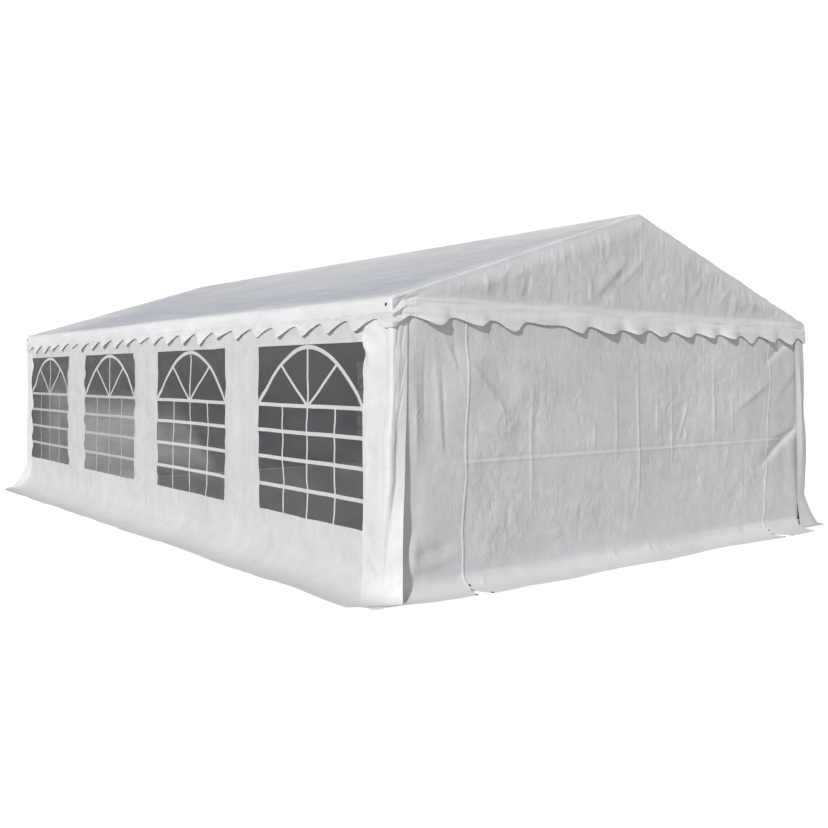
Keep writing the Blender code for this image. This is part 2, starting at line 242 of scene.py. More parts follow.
def crumple(u, v, size, stretch, seed):
    """Facets between creases, as on cloth that was folded small and shaken out. stretch is how
    much longer the facets are along v."""
    height = 0.0
    for octave, share in enumerate((1.0, 0.55, 0.3)):
        scale = size / 2**octave
        first = seed + 10 * octave
        bend = 0.45 * scale * hills(u, v, 1.4 * scale, 1.4 * scale, first + 1)
        facet = hills(u + bend, v - bend, scale, stretch * scale, first)
        other = hills(u - bend, v + bend, 1.3 * scale, stretch * scale, first + 2)
        height = height + share * (np.sqrt(facet**2 + 0.004) - np.sqrt(other**2 + 0.004))
    return height


def creases(u, v, lines, lean=1.0):
    """Folds along straight lines that fade at their ends, each (u0, v0, u1, v1, width, height), the
    last two in mm. Seen along the line, the left flank is lean times as wide as the right one."""
    total = np.zeros(np.broadcast(u, v).shape)
    for u0, v0, u1, v1, width, height in lines:
        du, dv = u1 - u0, v1 - v0
        width, height = width / 1000, height / 1000
        along = unit(((u - u0) * du + (v - v0) * dv) / (du * du + dv * dv))
        away = np.hypot(u - u0 - along * du, v - v0 - along * dv)
        away = np.where((v - v0) * du > (u - u0) * dv, away / lean, away)
        ends = rise(along, 0.0, 0.4) * fall(along, 1.0, 0.4)
        away = np.sqrt(away**2 + (0.7 * width) ** 2) - 0.7 * width
        total += height * np.exp(-away / width) * ends
    return total


def scattered(seed, count, low, high, length, lean, width, height):
    """Random short creases in the rectangle from low to high. Those with no lean run along v."""
    rng = np.random.default_rng(seed)
    lines = []
    for _ in range(count):
        u, v = rng.uniform(low, high)
        reach = length * rng.uniform(0.4, 1.6)
        angle = rng.normal(0.0, lean)
        end = (u + reach * math.sin(angle), v + reach * math.cos(angle))
        lines.append((u, v, *end, width * rng.uniform(0.6, 1.5), height * rng.uniform(-1.0, 1.0)))
    return lines


def spaced(stops, step):
    """Numbers from the first stop to the last, through every stop, no further apart than step."""
    runs = [
        np.linspace(a, b, max(1, math.ceil((b - a) / step)) + 1)[:-1]
        for a, b in zip(stops, stops[1:])
    ]
    return np.concatenate([*runs, [stops[-1]]])


# Making pieces


def grid(rows, columns):
    return np.meshgrid(rows, columns, indexing="ij")


def quads(rows, columns, first=0):
    """The cells of a grid of points, whose numbers start at first."""
    index = first + np.arange(rows * columns).reshape(rows, columns)
    return points_of(index[:-1, :-1], index[:-1, 1:], index[1:, 1:], index[1:, :-1])


def finish_piece(name, points, faces, uv, material, slot):
    mesh = bpy.data.meshes.new(name)
    mesh.from_pydata(points, [], faces.tolist())
    layer = mesh.uv_layers.new(name="cloth")
    layer.data.foreach_set("uv", uv[faces.ravel()].ravel())
    mesh.shade_smooth()
    mesh.materials.append(material)
    piece = bpy.data.objects.new(name, mesh)
    MARQUEE.objects.link(piece)
    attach(piece, "root")
    return piece


def cloth_piece(name, node, points, uv, material, slot, keep=None):
    """A cloth instead of a node, over rows and columns of points. Seen from outside, rows go right
    and columns down. uv holds its two distances, and keep marks the cells that are cloth."""
    cells = quads(*points.shape[:2])
    cells = cells.reshape(-1, 4) if keep is None else cells[keep]
    used, faces = np.unique(cells, return_inverse=True)
    points, uv = points.reshape(-1, 3)[used], points_of(*uv).reshape(-1, 2)[used]
    piece = finish_piece(name, points, faces.reshape(-1, 4), uv, material, slot)
    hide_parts(node)
    return piece


def strip_piece(name, paths, place, material, slot, section=((-1, 0), (0, 1), (1, 0)), step=0.02):
    """Narrow strips on the surface place(u, v, lift) of a cloth. Each path is (its points in the
    cloth's two distances, width, lift of the edges, rise). section is the strip's own shape, in
    halves of its width and shares of its rise."""
    across, up = np.array(section, float).T
    parts = []
    count = 0
    for path, width, lift, height in paths:
        path = np.asarray(path, float)
        run = np.concatenate([[0], np.cumsum(np.hypot(*np.diff(path, axis=0).T))])
        at = np.linspace(0, run[-1], max(2, math.ceil(run[-1] / step) + 1))
        line = points_of(*(np.interp(at, run, path[:, k]) for k in (0, 1)))
        along = np.gradient(line, axis=0)
        along /= np.maximum(np.linalg.norm(along, axis=1), 1e-9)[:, None]
        u = line[:, :1] - along[:, 1:] * across * width / 2
        v = line[:, 1:] + along[:, :1] * across * width / 2
        points = place(u, v, np.broadcast_to(lift + height * up, u.shape))
        cells = quads(*u.shape, count).reshape(-1, 4)
        parts.append((points.reshape(-1, 3), cells, points_of(u, v).reshape(-1, 2)))
        count += u.size
    points, faces, uv = (np.concatenate(part) for part in zip(*parts))
    return finish_piece(name, points, faces, uv, material, slot)


def turned(place):
    """The same surface half a turn round, for the back and the right side."""
    return lambda *where: place(*where) * (-1.0, -1.0, 1.0)


# Materials

WHITE = (1.0, 1.0, 1.0)
RANGE_SOCKETS = ("Value", "From Min", "From Max", "To Min", "To Max")


class Look:
    """The nodes of a material or of the world. A source is a number, a colour, a vector or the
    output of another node."""

    def __init__(self, owner):
        owner.use_nodes = True
        self.owner = owner
        self.nodes = owner.node_tree.nodes
        self.links = owner.node_tree.links

    def feed(self, socket, source):
        if isinstance(source, bpy.types.NodeSocket):
            self.links.new(source, socket)
        elif socket.type == "RGBA":
            socket.default_value = (*source, 1.0)
        else:
            socket.default_value = source

    def node(self, kind, output, sources, **settings):
        """The output of a new node. sources are by the name or the place of its sockets."""
        made = self.nodes.new("ShaderNode" + kind)
        for key, setting in settings.items():
            setattr(made, key, setting)
        for key, source in sources.items():
            self.feed(made.inputs[key], source)
        return made.outputs[output]

    def finish(self, sources, shader="Principled BSDF"):
        """Feeds the shader and gives what the nodes belong to."""
        for key, source in sources.items():
            self.feed(self.nodes[shader].inputs[key], source)
        return self.owner

    def flat(self):
        """The two distances of a cloth."""
        return self.node("TexCoord", "UV", {})

    def solid(self):
        return self.node("TexCoord", "Object", {})

    def part(self, vector, axis):
        return self.node("SeparateXYZ", axis, {"Vector": vector})

    def height(self):
        """The height above the ground."""
        return self.part(self.node("NewGeometry", "Position", {}), "Z")

    def calc(self, operation, *sources):
        return self.node("Math", 0, dict(enumerate(sources)), operation=operation)

    def times(self, first, second):
        return self.calc("MULTIPLY", first, second)

    def most(self, first, second):
        return self.calc("MAXIMUM", first, second)

    def away(self, vector, axis):
        """The distance from the middle along one axis."""
        return self.calc("ABSOLUTE", self.part(vector, axis))

    def span(self, value, from_low, from_high, to_low=0.0, to_high=1.0):
        sources = (value, from_low, from_high, to_low, to_high)
        return self.node("MapRange", "Result", dict(zip(RANGE_SOCKETS, sources)))

    def mix(self, share, first, second, blend="MIX"):
        sources = {0: share, 6: first, 7: second}
        return self.node("Mix", 2, sources, data_type="RGBA", blend_type=blend)

    def ramp(self, value, low, low_colour, high, high_colour):
        """A colour ramp between two places."""
        made = self.nodes.new("ShaderNodeValToRGB")
        stops = ((low, low_colour), (high, high_colour))
        for element, (position, colour) in zip(made.color_ramp.elements, stops):
            element.position = position
            element.color = (*colour, 1.0)
        self.feed(made.inputs["Fac"], value)
        return made.outputs["Color"]

    def stretched(self, vector, scale):
        return self.node("Mapping", "Vector", {"Vector": vector, "Scale": scale})

    def noise(self, vector, scale, detail=3.0, rough=0.55):
        sources = {"Vector": vector, "Scale": scale, "Detail": detail, "Roughness": rough}
        return self.node("TexNoise", "Fac", sources)

    def bump(self, *layers):
        """The normal after layers of relief, each (height, distance, strength)."""
        before = {}
        for layer in layers:
            sources = dict(zip(("Height", "Distance", "Strength"), layer), **before)
            before = {"Normal": self.node("Bump", "Normal", sources)}
        return before["Normal"]


def new_look(name):
    return Look(bpy.data.materials.new(name))


def crease_net(look, flat, scale, stretch, width):
    """Fine creases, mostly down the cloth, in broken lines between patches without any."""
    shift = look.node("TexNoise", "Color", {"Vector": flat, "Scale": 1.7 * scale})
    sources = {0: shift, 1: (0.3 / scale,) * 3, 2: flat}
    bent = look.node("VectorMath", "Vector", sources, operation="MULTIPLY_ADD")
    sources = {"Vector": look.stretched(bent, (1.0, stretch, 1.0)), "Scale": scale}
    edge = look.node("TexVoronoi", "Distance", sources, feature="DISTANCE_TO_EDGE")
    line = look.span(edge, 0.0, width * scale, 1.0, 0.0)
    return look.times(line, look.span(look.noise(flat, 0.8 * scale), 0.42, 0.62))


def coated_cloth(name, single, double_and_lit_tone, double_and_lit_share, stretch=0.5, patch_tone=0.93, patch_shape=(1.0, 1.0, 1.0)):
    """Woven polyethylene with a coat: creases, crinkles, weave, a soft sheen and dust near the
    ground. It has the colour single, and is as pale as the second tone where the given share is 1, a share
    that is partly painted light."""
    look = new_look(name)
    flat, solid = look.flat(), look.solid()
    # Where the share is 1 the cloth takes the paler tone: double cloth on the side walls' corner strips,
    # painted light on the roof, the gable's lower strip and the end walls' skirts, and paler towards the
    # gable's upper edge.
    colour = look.mix(double_and_lit_share(look, flat), single, double_and_lit_tone)
    for scale, detail in ((1.3, 4.0), (9.0, 3.0)):
        patch = look.noise(look.stretched(solid, patch_shape), scale, detail)
        patch = look.ramp(patch, 0.35, (patch_tone,) * 3, 0.65, WHITE)
        colour = look.mix(1.0, colour, patch, "MULTIPLY")
    dust = look.span(look.height(), 0.0, 0.1, 0.5, 0.0)
    crinkles = look.noise(look.stretched(flat, (1.0, stretch, 1.0)), 30.0, 4.0, 0.6)
    weave = look.node("TexWave", "Fac", {"Vector": flat, "Scale": 120.0, "Distortion": 0.6})
    wide = crease_net(look, flat, 6.0, 0.6 * stretch, 0.004)
    narrow = crease_net(look, flat, 17.0, stretch, 0.0028)
    layers = (wide, 0.0022, 0.6), (narrow, 0.0016, 0.9), (crinkles, 0.0026, 0.32), (weave, 0.0002, 0.2)
    return look.finish({
        "Base Color": look.mix(dust, colour, tuple(0.93 * tone for tone in double_and_lit_tone)),
        "Roughness": look.span(look.noise(solid, 7.0, 4.0), 0.3, 0.7, 0.34, 0.55),
        "Normal": look.bump(*layers),
        "Sheen Weight": 0.06,
        "Sheen Roughness": 0.5,
        "Specular IOR Level": 0.35,
    })


# Where the side walls' double strips beside the corners start, at the back and the front
CORNER_STRIPS = (-3.758, 3.66)


def corner_strips(look, flat):
    """The side walls are double from the last windows to the corners."""
    along = look.part(flat, "X")
    front = look.span(along, CORNER_STRIPS[1] - 0.004, CORNER_STRIPS[1] + 0.004)
    back = look.span(along, CORNER_STRIPS[0] + 0.004, CORNER_STRIPS[0] - 0.004)
    return look.most(front, back)


def skirt_strip(look, flat):
    """The end walls are painted paler from just above their turn to the skirt's edge, a painted highlight
    on the skirt, which faces up.
    """
    return look.span(look.height(), 0.115, 0.095, 0.0, 1.0)


def gable_tones(look, flat):
    """The gable is painted paler on its lower strip, which hangs over the end wall, as painted light, and
    it is paler towards its upper edge.
    """
    height = look.height()
    # Painted light: the lower strip is painted paler.
    strip = look.span(height, 1.985, 1.955)
    line = look.times(look.away(flat, "X"), math.tan(SLOPE))
    below = look.calc("SUBTRACT", RIDGE, look.calc("ADD", height, line))
    return look.most(strip, look.span(below, 0.06, 0.17, 0.6, 0.0))


def roof_painted_light(look, flat):
    """The share of the cover's paler tone, all painted light: the cover is painted paler, without the
    slopes' painted bluish sky tint, over the eave rails and along its ends, and lighter up the slope and
    low down in its last bay."""
    across, back = look.away(flat, "X"), look.part(flat, "Y")
    # Painted light over the eave rails and down the valances, reaching further up the slope towards the
    # front.
    eave_at = look.calc("ADD", across, look.span(back, -1.6, 0.8, 0.17, 0.0))
    eaves = look.span(eave_at, SLOPE_LENGTH - 0.06, SLOPE_LENGTH + 0.02)
    # Painted light along the cover's ends.
    ends = look.span(look.away(flat, "Y"), GABLE_PLANE - 0.38, GABLE_PLANE - 0.18, 0.0, 0.9)
    # Painted light up the slope, weaker in the last bays, and low down in the last bay.
    upper = look.times(look.span(across, 0.35, 1.95, 1.0, 0.0), look.span(back, 1.2, 2.6, 1.0, 0.3))
    lower = look.times(look.span(across, 1.0, 1.5, 0.0, 0.85), look.span(back, 2.5, 3.2))
    return look.most(look.most(eaves, ends), look.most(upper, lower))


def window_film(name, reflection_strength, top, foot, patchy, drift=None):
    """Clear film painted dark, standing in for the shaded inside of the tent behind it, with a painted
    pale reflection below the height top. foot is the share of the painted reflection left at the sill, and
    patchy how uneven it is. drift is how much the painted reflection's side edge leans, and where along
    the wall it is weak and full."""
    look = new_look(name)
    solid, height = look.solid(), look.height()
    blotches = look.noise(look.stretched(solid, (1.0, 0.7, 2.0)), 1.5, 4.0)
    bands = look.noise(look.stretched(solid, (1.0, 1.2, 9.0)), 1.6, 5.0, 0.6)
    # Painted reflection: where this share is high the film is painted pale and less clear, standing in for
    # reflections low down.
    reflection_share = look.span(height, top - 0.24, top, reflection_strength, 0.04)
    reflection_share = look.times(reflection_share, look.span(height, 0.52, 0.72, foot, 1.0))
    reflection_share = look.times(reflection_share, look.span(blotches, 0.4, 0.56, 1.0 - patchy, 1.0))
    if drift:
        lean, no_reflection_at, reflection_at = drift
        along = look.calc("SUBTRACT", look.part(solid, "Y"), look.times(height, lean))
        reflection_share = look.times(reflection_share, look.span(along, no_reflection_at, reflection_at, 0.2, 1.0))
    reflection_share = look.times(reflection_share, look.span(bands, 0.35, 0.62, 1.0 - 0.6 * patchy, 1.0))
    # Painted shade: the film's dark colour stands in for the shaded inside of the tent, painted a little
    # lighter higher up.
    upper = look.span(height, 1.15, 1.55)
    painted_inside_shade = look.mix(upper, (0.07, 0.07, 0.078), (0.105, 0.105, 0.113))
    ripple = look.noise(look.stretched(solid, (1.0, 0.5, 1.0)), 9.0, 2.0)
    return look.finish({
        "Base Color": look.mix(reflection_share, painted_inside_shade, (0.44, 0.44, 0.455)),
        "Roughness": look.span(blotches, 0.3, 0.7, 0.12, 0.28),
        "Alpha": look.span(reflection_share, 0.0, 0.6, 0.8, 0.95),
        "Normal": look.bump((ripple, 0.004, 0.4)),
        "Specular IOR Level": 0.5,
    })


def printed_bar(name, low_tone):
    """The print on the films. Below the arch it is duller by the share low_tone."""
    look = new_look(name)
    tone = look.noise(look.solid(), 30.0, 4.0)
    colour = look.ramp(tone, 0.3, (0.6, 0.6, 0.61), 0.7, (0.7, 0.7, 0.71))
    low_down = look.span(look.height(), 1.2, 1.3, 1.0, 0.0)
    dull = look.mix(1.0, colour, (low_tone,) * 3, "MULTIPLY")
    return look.finish({
        "Base Color": look.mix(low_down, colour, dull),
        "Roughness": look.span(tone, 0.3, 0.7, 0.4, 0.55),
        "Normal": look.bump((tone, 0.0004, 0.3)),
    })


def galvanised(name):
    look = new_look(name)
    solid = look.solid()
    spangle = look.node("TexVoronoi", "Distance", {"Vector": solid, "Scale": 90.0})
    worn = look.noise(solid, 14.0, 4.0)
    return look.finish({
        "Base Color": look.ramp(spangle, 0.0, (0.46, 0.48, 0.5), 1.0, (0.66, 0.68, 0.7)),
        "Roughness": look.span(worn, 0.3, 0.7, 0.32, 0.5),
        "Normal": look.bump((worn, 0.0005, 0.3)),
        "Metallic": 0.85,
    })


def black_plastic(name):
    look = new_look(name)
    scuff = look.noise(look.solid(), 60.0, 4.0)
    return look.finish({
        "Base Color": look.ramp(scuff, 0.3, (0.012, 0.012, 0.013), 0.7, (0.035, 0.035, 0.037)),
        "Roughness": look.span(scuff, 0.3, 0.7, 0.35, 0.55),
    })


SIDE_CLOTH = coated_cloth("side_cloth_look", (0.7, 0.705, 0.715), (0.84, 0.84, 0.845), corner_strips)
END_CLOTH = coated_cloth("end_cloth_look", (0.787, 0.787, 0.81), (0.88, 0.88, 0.9), skirt_strip)
# The roof's bluish tone is painted sky light on its slopes, and its paler tone is painted light.
ROOF_CLOTH = coated_cloth(
    "roof_cloth_look", (0.728, 0.75, 0.83), (0.9, 0.9, 0.925), roof_painted_light, 0.2, 0.9, (1.0, 0.3, 1.0)
)
GABLE_CLOTH = coated_cloth("gable_cloth_look", (0.8, 0.8, 0.825), (0.93, 0.93, 0.945), gable_tones)
# Films painted dark for the shaded inside of the tent, with painted pale reflections set window by window;
# the right side's films share one.
LEFT_FILMS = (
    window_film("clear_film_look", 0.12, 1.22, 0.45, 0.75),
    window_film("drift_film_look", 0.5, 1.2, 0.2, 0.3, (1.6, -2.66, -2.38)),
    window_film("third_film_look", 0.64, 1.3, 0.95, 0.25),
    window_film("far_film_look", 0.47, 1.46, 0.9, 0.4, (-0.3, 3.65, 3.1)),
)
RIGHT_FILM = window_film("right_film_look", 0.46, 1.22, 0.45, 0.75)
BAR_PRINT = printed_bar("bar_print_look", 1.0)
FAINT_PRINT = printed_bar("faint_print_look", 0.76)
STEEL = galvanised("galvanised_look")
BLACK = black_plastic("black_plastic_look")


# Roof cover

RIDGE_ROUND = 0.05
EAVE_ROUND = 0.11
ROOF_END_RADIUS = 0.026
CORNER_END_RADIUS = 0.012
LIP = 0.006
LIP_GAP = 0.0008
VALANCE_START = 2.72
QUARTER_TURN = math.pi / 2
ROOF_FACE = GABLE_PLANE + LIP_GAP
ROOF_BODY = ROOF_FACE - ROOF_END_RADIUS
ROOF_END_ARC = ROOF_END_RADIUS * QUARTER_TURN


def roof_outline():
    """The roof's section from the ridge to the end of the eave's round: distance, x, z, turn."""
    run = np.linspace(0.0, VALANCE_START, 3000)
    eave = rise(run, SLOPE_LENGTH - EAVE_ROUND / 2, EAVE_ROUND)
    turn = SLOPE * smooth(run / RIDGE_ROUND) + (QUARTER_TURN - SLOPE) * eave
    step = run[1] - run[0]
    x = np.concatenate([[0.0], np.cumsum(np.cos(turn[:-1])) * step])
    z = RIDGE - np.concatenate([[0.0], np.cumsum(np.sin(turn[:-1])) * step])
    return run, x, z, turn


ROOF_RUN, ROOF_X, ROOF_Z, ROOF_TURN = roof_outline()
VALANCE_X = ROOF_X[-1]
VALANCE_TOP = ROOF_Z[-1]


def side_hem(y, seed):
    """Height of the eave valance's wavy hem, and how far out it curls there."""
    wander = 0.03 * hills(y, 2.0, 0.55, 1.0, seed + 2) * rise(y, -3.2, 1.5)
    phase = 2 * math.pi * (y - SIDE_PEAK_AT + wander) / SIDE_PITCH
    wave = 0.5 - 0.5 * np.cos(phase - 0.45 * (1 - np.cos(phase)))
    near_corner = rise(np.abs(y), 3.82, 0.18)
    wave = wave * (1 - near_corner) + 0.72 * near_corner
    uneven = 1 + 0.38 * hills(y, 3.0, 0.3, 1.0, seed + 3) * rise(y, -3.0, 1.5)
    height = SIDE_PEAK - (SIDE_PEAK - SIDE_TIP) * wave * uneven + 0.007 * hills(y, 0.0, 0.4, 1.0, seed)
    curl = wave**1.5 * (0.02 + 0.014 * hills(y, 0.5, 0.3, 1.0, seed + 1)) * (1 - near_corner)
    return height, curl


def gable_flare(x, z):
    """How far the end valance stands out of the gable. It is tight at the corners."""
    return (0.026 - 0.014 * rise(np.abs(x), 2.25, 0.2)) * fall(z, 1.985, 0.17)


def roof_sag(s, y, seed):
    """How far the roof lies off its section, outward, between the rails, purlins and rafters."""
    waves = waves_on(s, y, seed)
    across = np.abs(s)
    purlin = 0.5 * SLOPE_LENGTH
    span = np.sin(math.pi * unit(np.mod(across, purlin) / purlin))
    bay = np.clip(np.searchsorted(POST_ROWS, y) - 1, 0, len(POST_ROWS) - 2)
    part = unit((y - POST_ROWS[bay]) / (POST_ROWS[bay + 1] - POST_ROWS[bay]))
    between = np.sin(math.pi * part)
    sag = -0.01 * between * span**0.8 - 0.006 * between - 0.004 * span
    patchy = 0.55 + waves(0.45, 0.45, 0.9, 6)
    streaks = waves(0.003, 0.11, 0.6) + waves(0.0016, 0.055, 0.3, 1)
    short = scattered(seed + 7, 170, (-2.5, -3.9), (2.5, 3.9), 0.3, 0.1, 11, 5)
    facets = 0.0042 * crumple(s, y, 0.24, 2.0, seed + 2) * patchy + creases(s, y, short)
    broad = waves(0.004, 0.5, 0.9, 5) * between
    waves = broad + (streaks * patchy + facets) * (0.35 + 0.65 * span)
    on_steel = 0.0015 * unit(bell(part * 2.0, 0.05) + bell((1 - part) * 2.0, 0.05))
    return ((sag + waves) * rise(across, 0.0, 0.14) + on_steel) * fall(across, SLOPE_LENGTH, 0.15)


def roof_place(p, v, lift=0.0, seed=100):
    """A point of the roof cover. p is the distance across from the ridge, and beyond the eave's
    round 1 more means the hem. v is the distance along, round the ends."""
    side, run = np.where(p < 0, -1.0, 1.0), np.abs(p)
    end, length = np.where(v < 0, -1.0, 1.0), np.abs(v)
    on_slope = np.minimum(run, VALANCE_START)
    x, z, turn = (np.interp(on_slope, ROOF_RUN, part) for part in (ROOF_X, ROOF_Z, ROOF_TURN))
    down = unit(run - VALANCE_START)
    eave_share = rise(run, SLOPE_LENGTH - 0.08, 0.12)
    valance = rise(run, SLOPE_LENGTH - 0.05, 0.1)
    radius = ROOF_END_RADIUS + (CORNER_END_RADIUS - ROOF_END_RADIUS) * eave_share
    radius = radius * (1 + 0.3 * hills(run, v * 0, 0.09, 1.0, seed + 20) * (1 - eave_share))
    past = np.maximum(length - ROOF_BODY, 0.0)
    bend = unit(past / ROOF_END_ARC) * QUARTER_TURN
    y = np.minimum(length, ROOF_BODY) * (ROOF_FACE - radius) / ROOF_BODY + radius * np.sin(bend)
    inward = radius * (1 - np.cos(bend)) + np.clip(past - ROOF_END_ARC, 0.0, LIP)
    hem, curl = side_hem(end * y, seed + 30)
    z = z - down * (VALANCE_TOP - hem)
    sheet = roof_sag(run * side, end * length, seed) * (1 - bend / QUARTER_TURN) + lift
    ripple = 0.0035 * hills(z, end * y, 0.16, 0.22, seed + 40) * valance * (1 - rise(length, 3.6, 0.4))
    pucker = 0.0035 * hills(run, 0.0 * v, 0.045, 1.0, seed + 41) * np.sin(bend) * (1 - valance)
    corner = 0.006 * bell(run - SLOPE_LENGTH, 0.07) * rise(length, 3.9, 0.08)
    hug = (SIDE_PLANE + 0.0015 - VALANCE_X) * rise(length, 3.76, 0.12) * smooth(down / 0.7)
    off = sheet + ripple + pucker + corner + curl * down**2.2 + hug - inward
    x = x + off * np.sin(turn)
    z = z + off * np.cos(turn)
    y = y + gable_flare(x, z) * rise(length, 3.7, 0.3) * valance
    return points_of(side * x, end * y, z)


def build_roof():
    finish = ROOF_BODY + ROOF_END_ARC + LIP
    half = spaced([0.0, RIDGE_ROUND, SLOPE_LENGTH - 0.08, VALANCE_START], ROOF_STEP)
    half = np.concatenate([half, VALANCE_START + np.linspace(0, 1, 11)[1:]])
    end = np.append(np.linspace(ROOF_BODY, finish - LIP, 7)[1:], finish)
    along = np.concatenate([-end[::-1], spaced([-ROOF_BODY, 0.0, ROOF_BODY], ROOF_STEP), end])
    v, p = grid(along[::-1], np.concatenate([-half[:0:-1], half]))
    roof = cloth_piece("roof_sheet", "roof_cover", roof_place(p, v), (p, v), ROOF_CLOTH, "roof_cloth")


# Gable panels

GABLE_REACH = VALANCE_X - 0.0045
GABLE_FOLDS = [
    (-2.111, 2.106, -2.205, 2.0, 6, 6), (-0.604, 2.24, -0.608, 1.97, 8, 7),
    (-0.98, 2.43, -0.995, 2.15, 8, 6), (-1.125, 2.4, -1.155, 2.24, 8, -5),
    (-1.246, 2.22, -1.283, 1.99, 9, -6), (-1.3, 2.19, -1.355, 1.99, 8, 6),
    (-1.71, 2.18, -1.68, 2.0, 10, 5), (-1.044, 2.16, -1.06, 1.95, 8, 5),
    (-0.817, 2.12, -0.835, 1.96, 8, -5), (-0.277, 2.16, -0.334, 1.99, 12, 6),
    (0.56, 2.5, 0.6, 2.03, 8, 4), (0.95, 2.35, 0.9, 2.03, 10, -5),
    (1.3, 2.26, 1.05, 2.06, 10, 6), (1.62, 2.18, 1.6, 2.0, 10, 4),
]
# Folds with one steep flank, on the right seen along the line
STEEP_GABLE_FOLDS = [
    (-0.64, 1.99, -0.13, 2.39, 24, 16), (-0.29, 2.13, 0.08, 2.41, 12, 8),
    (0.06, 2.18, 0.42, 2.33, 20, -8), (-1.56, 2.12, -1.38, 2.3, 14, 8),
    (0.7, 2.08, 0.86, 2.32, 14, 7),
]
CORNER_GATHERS = [
    (-2.52, 1.924, -2.37, 1.992, 8, 9), (-2.5, 1.868, -2.4, 1.955, 6, -9),
    (-2.45, 1.92, -2.23, 1.99, 7, -6), (-2.515, 1.836, -2.37, 1.918, 8, 10),
    (-2.42, 1.895, -2.26, 1.928, 9, 5), (-2.512, 1.805, -2.39, 1.888, 7, -8),
    (-2.512, 1.765, -2.33, 1.865, 9, 9), (-2.47, 1.77, -2.36, 1.83, 8, -6),
]


def gable_hem(x):
    """Height of the end valance's hem, and how far out it curls there."""
    us, zs, curls = np.array(sorted([(u, z, 0.0) for u, z in GABLE_PEAKS] + list(GABLE_TIPS))).T
    i = np.clip(np.searchsorted(us, x) - 1, 0, len(us) - 2)
    part = 0.5 - 0.5 * np.cos(math.pi * unit((x - us[i]) / (us[i + 1] - us[i])))
    return zs[i] * (1 - part) + zs[i + 1] * part, curls[i] * (1 - part) + curls[i + 1] * part


def verge_gathers():
    """Short folds down from the panel's upper edge."""
    rng = np.random.default_rng(91)
    lines = []
    for x in np.linspace(-2.15, 2.15, 54):
        x = x + rng.uniform(-0.03, 0.03)
        top = RIDGE - abs(x) * math.tan(SLOPE) - 0.03
        length = rng.uniform(0.1, 0.26)
        lean = rng.uniform(-0.02, 0.05) * (1 if x < 0 else -1)
        height = rng.uniform(-6.0, 6.0)
        lines.append((x, top, x + lean, top - length, rng.uniform(6.0, 12.0), height))
    return lines


VERGE_GATHERS = verge_gathers()


def gable_relief(x, z, seed):
    """How far the gable panel lies off its plane, outward."""
    waves = waves_on(x, z, seed)
    top = RIDGE - np.abs(x) * math.tan(SLOPE)
    room = fall(z, top, 0.22) * rise(z, 1.99, 0.12)
    billow = -0.006 * room + waves(0.006, 0.55, 0.5) * room
    upright = waves(0.0012, 0.06, 0.24, 1) + waves(0.004, 0.22, 0.3, 2)
    patchy = 0.6 + waves(0.4, 0.4, 0.3, 7)
    facets = 0.0064 * crumple(x, z, 0.15, 1.3, seed + 3) * patchy
    verge = 0.016 * fall(z, top, 0.15) * rise(z, top - 0.75, 0.6) * rise(z, 1.99, 0.12)
    pulls = creases(x, z, VERGE_GATHERS) * rise(z, 1.99, 0.05)
    short = scattered(seed + 9, 130, (-2.1, 1.98), (2.1, 2.55), 0.11, 0.35, 5.5, 4.5)
    short += scattered(seed + 10, 50, (-2.1, 1.98), (2.1, 2.55), 0.1, 1.3, 7, 4)
    folds = creases(x, z, short + GABLE_FOLDS) + creases(x, z, STEEP_GABLE_FOLDS, 2.5)
    panel = (upright + facets + folds) * fall(z, top, 0.13) * rise(z, 1.96, 0.05)
    streaks = waves(0.0045, 0.55, 0.03, 5) + waves(0.0025, 0.2, 0.018, 6)
    band = streaks * fall(z, 2.0, 0.05) + creases(x, z, CORNER_GATHERS)
    return billow + verge + panel + band + pulls


def gable_top(x):
    """The panel's upper edge, tucked under the roof cover's lip."""
    surface = np.interp(np.abs(x), ROOF_X, ROOF_Z)
    return np.minimum(surface - 0.017 / math.cos(SLOPE), RIDGE - 0.021)


def gable_place(a, b, lift=0.0, seed=200):
    """A point of the front gable panel. a goes across from -1 to 1, and b from the roof to the
    hem, 0 to 1."""
    x = a * GABLE_REACH
    hem, curl = gable_hem(x)
    top = gable_top(x)
    z = top + b * (hem - top)
    below = unit((1.96 - z) / (1.96 - hem))
    edge = fall(np.abs(a), 1.0, 0.008)
    out = gable_flare(x, z) + (curl * below**2.2 + gable_relief(x, z, seed) + lift) * edge
    return points_of(x, -GABLE_PLANE - out, z)


def gable_strip(place):
    """The same panel by distance across and height."""

    def where(x, z, lift):
        top = gable_top(x)
        return place(x / GABLE_REACH, (top - z) / (top - gable_hem(x)[0]), lift)

    return where


def build_gable(label, place, coarse):
    """coarse is how much wider the mesh is than the front one's."""
    across = spaced([-1.0, 0.0, 1.0], GABLE_STEP * coarse)
    a, b = grid(across, spaced([0.0, 0.78, 1.0], GABLE_STEP_DOWN * coarse))
    points = place(a, b)
    uv = (a * VALANCE_X, points[..., 2])
    name = f"gable_{label}"
    panel = cloth_piece(name, f"gable_panel_{label}", points, uv, GABLE_CLOTH, "roof_cloth")
    seams = [
        ([(0.008, 2.7), (0.012, 2.03)], *GABLE_SEAM),
        ([(-0.037, 2.61), (-0.041, 2.04)], *GABLE_TWIN_SEAM),
    ]
    strips = strip_piece(f"{name}_seam", seams, gable_strip(place), GABLE_CLOTH, "roof_cloth")


# Walls


def wall_section(t, foot):
    """Height above the ground at a distance t down a wall, and how far out the skirt is there, as
    a share of its reach."""
    upright = WALL_TOP - foot.height
    turn = unit((t - upright) / foot.turn) * QUARTER_TURN
    flat = unit((t - upright - foot.turn) / foot.flat)
    height = np.where(t < upright, WALL_TOP - t, foot.height * (1 - np.sin(turn)))
    return height, foot.share * (1 - np.cos(turn)) + (1 - foot.share) * flat


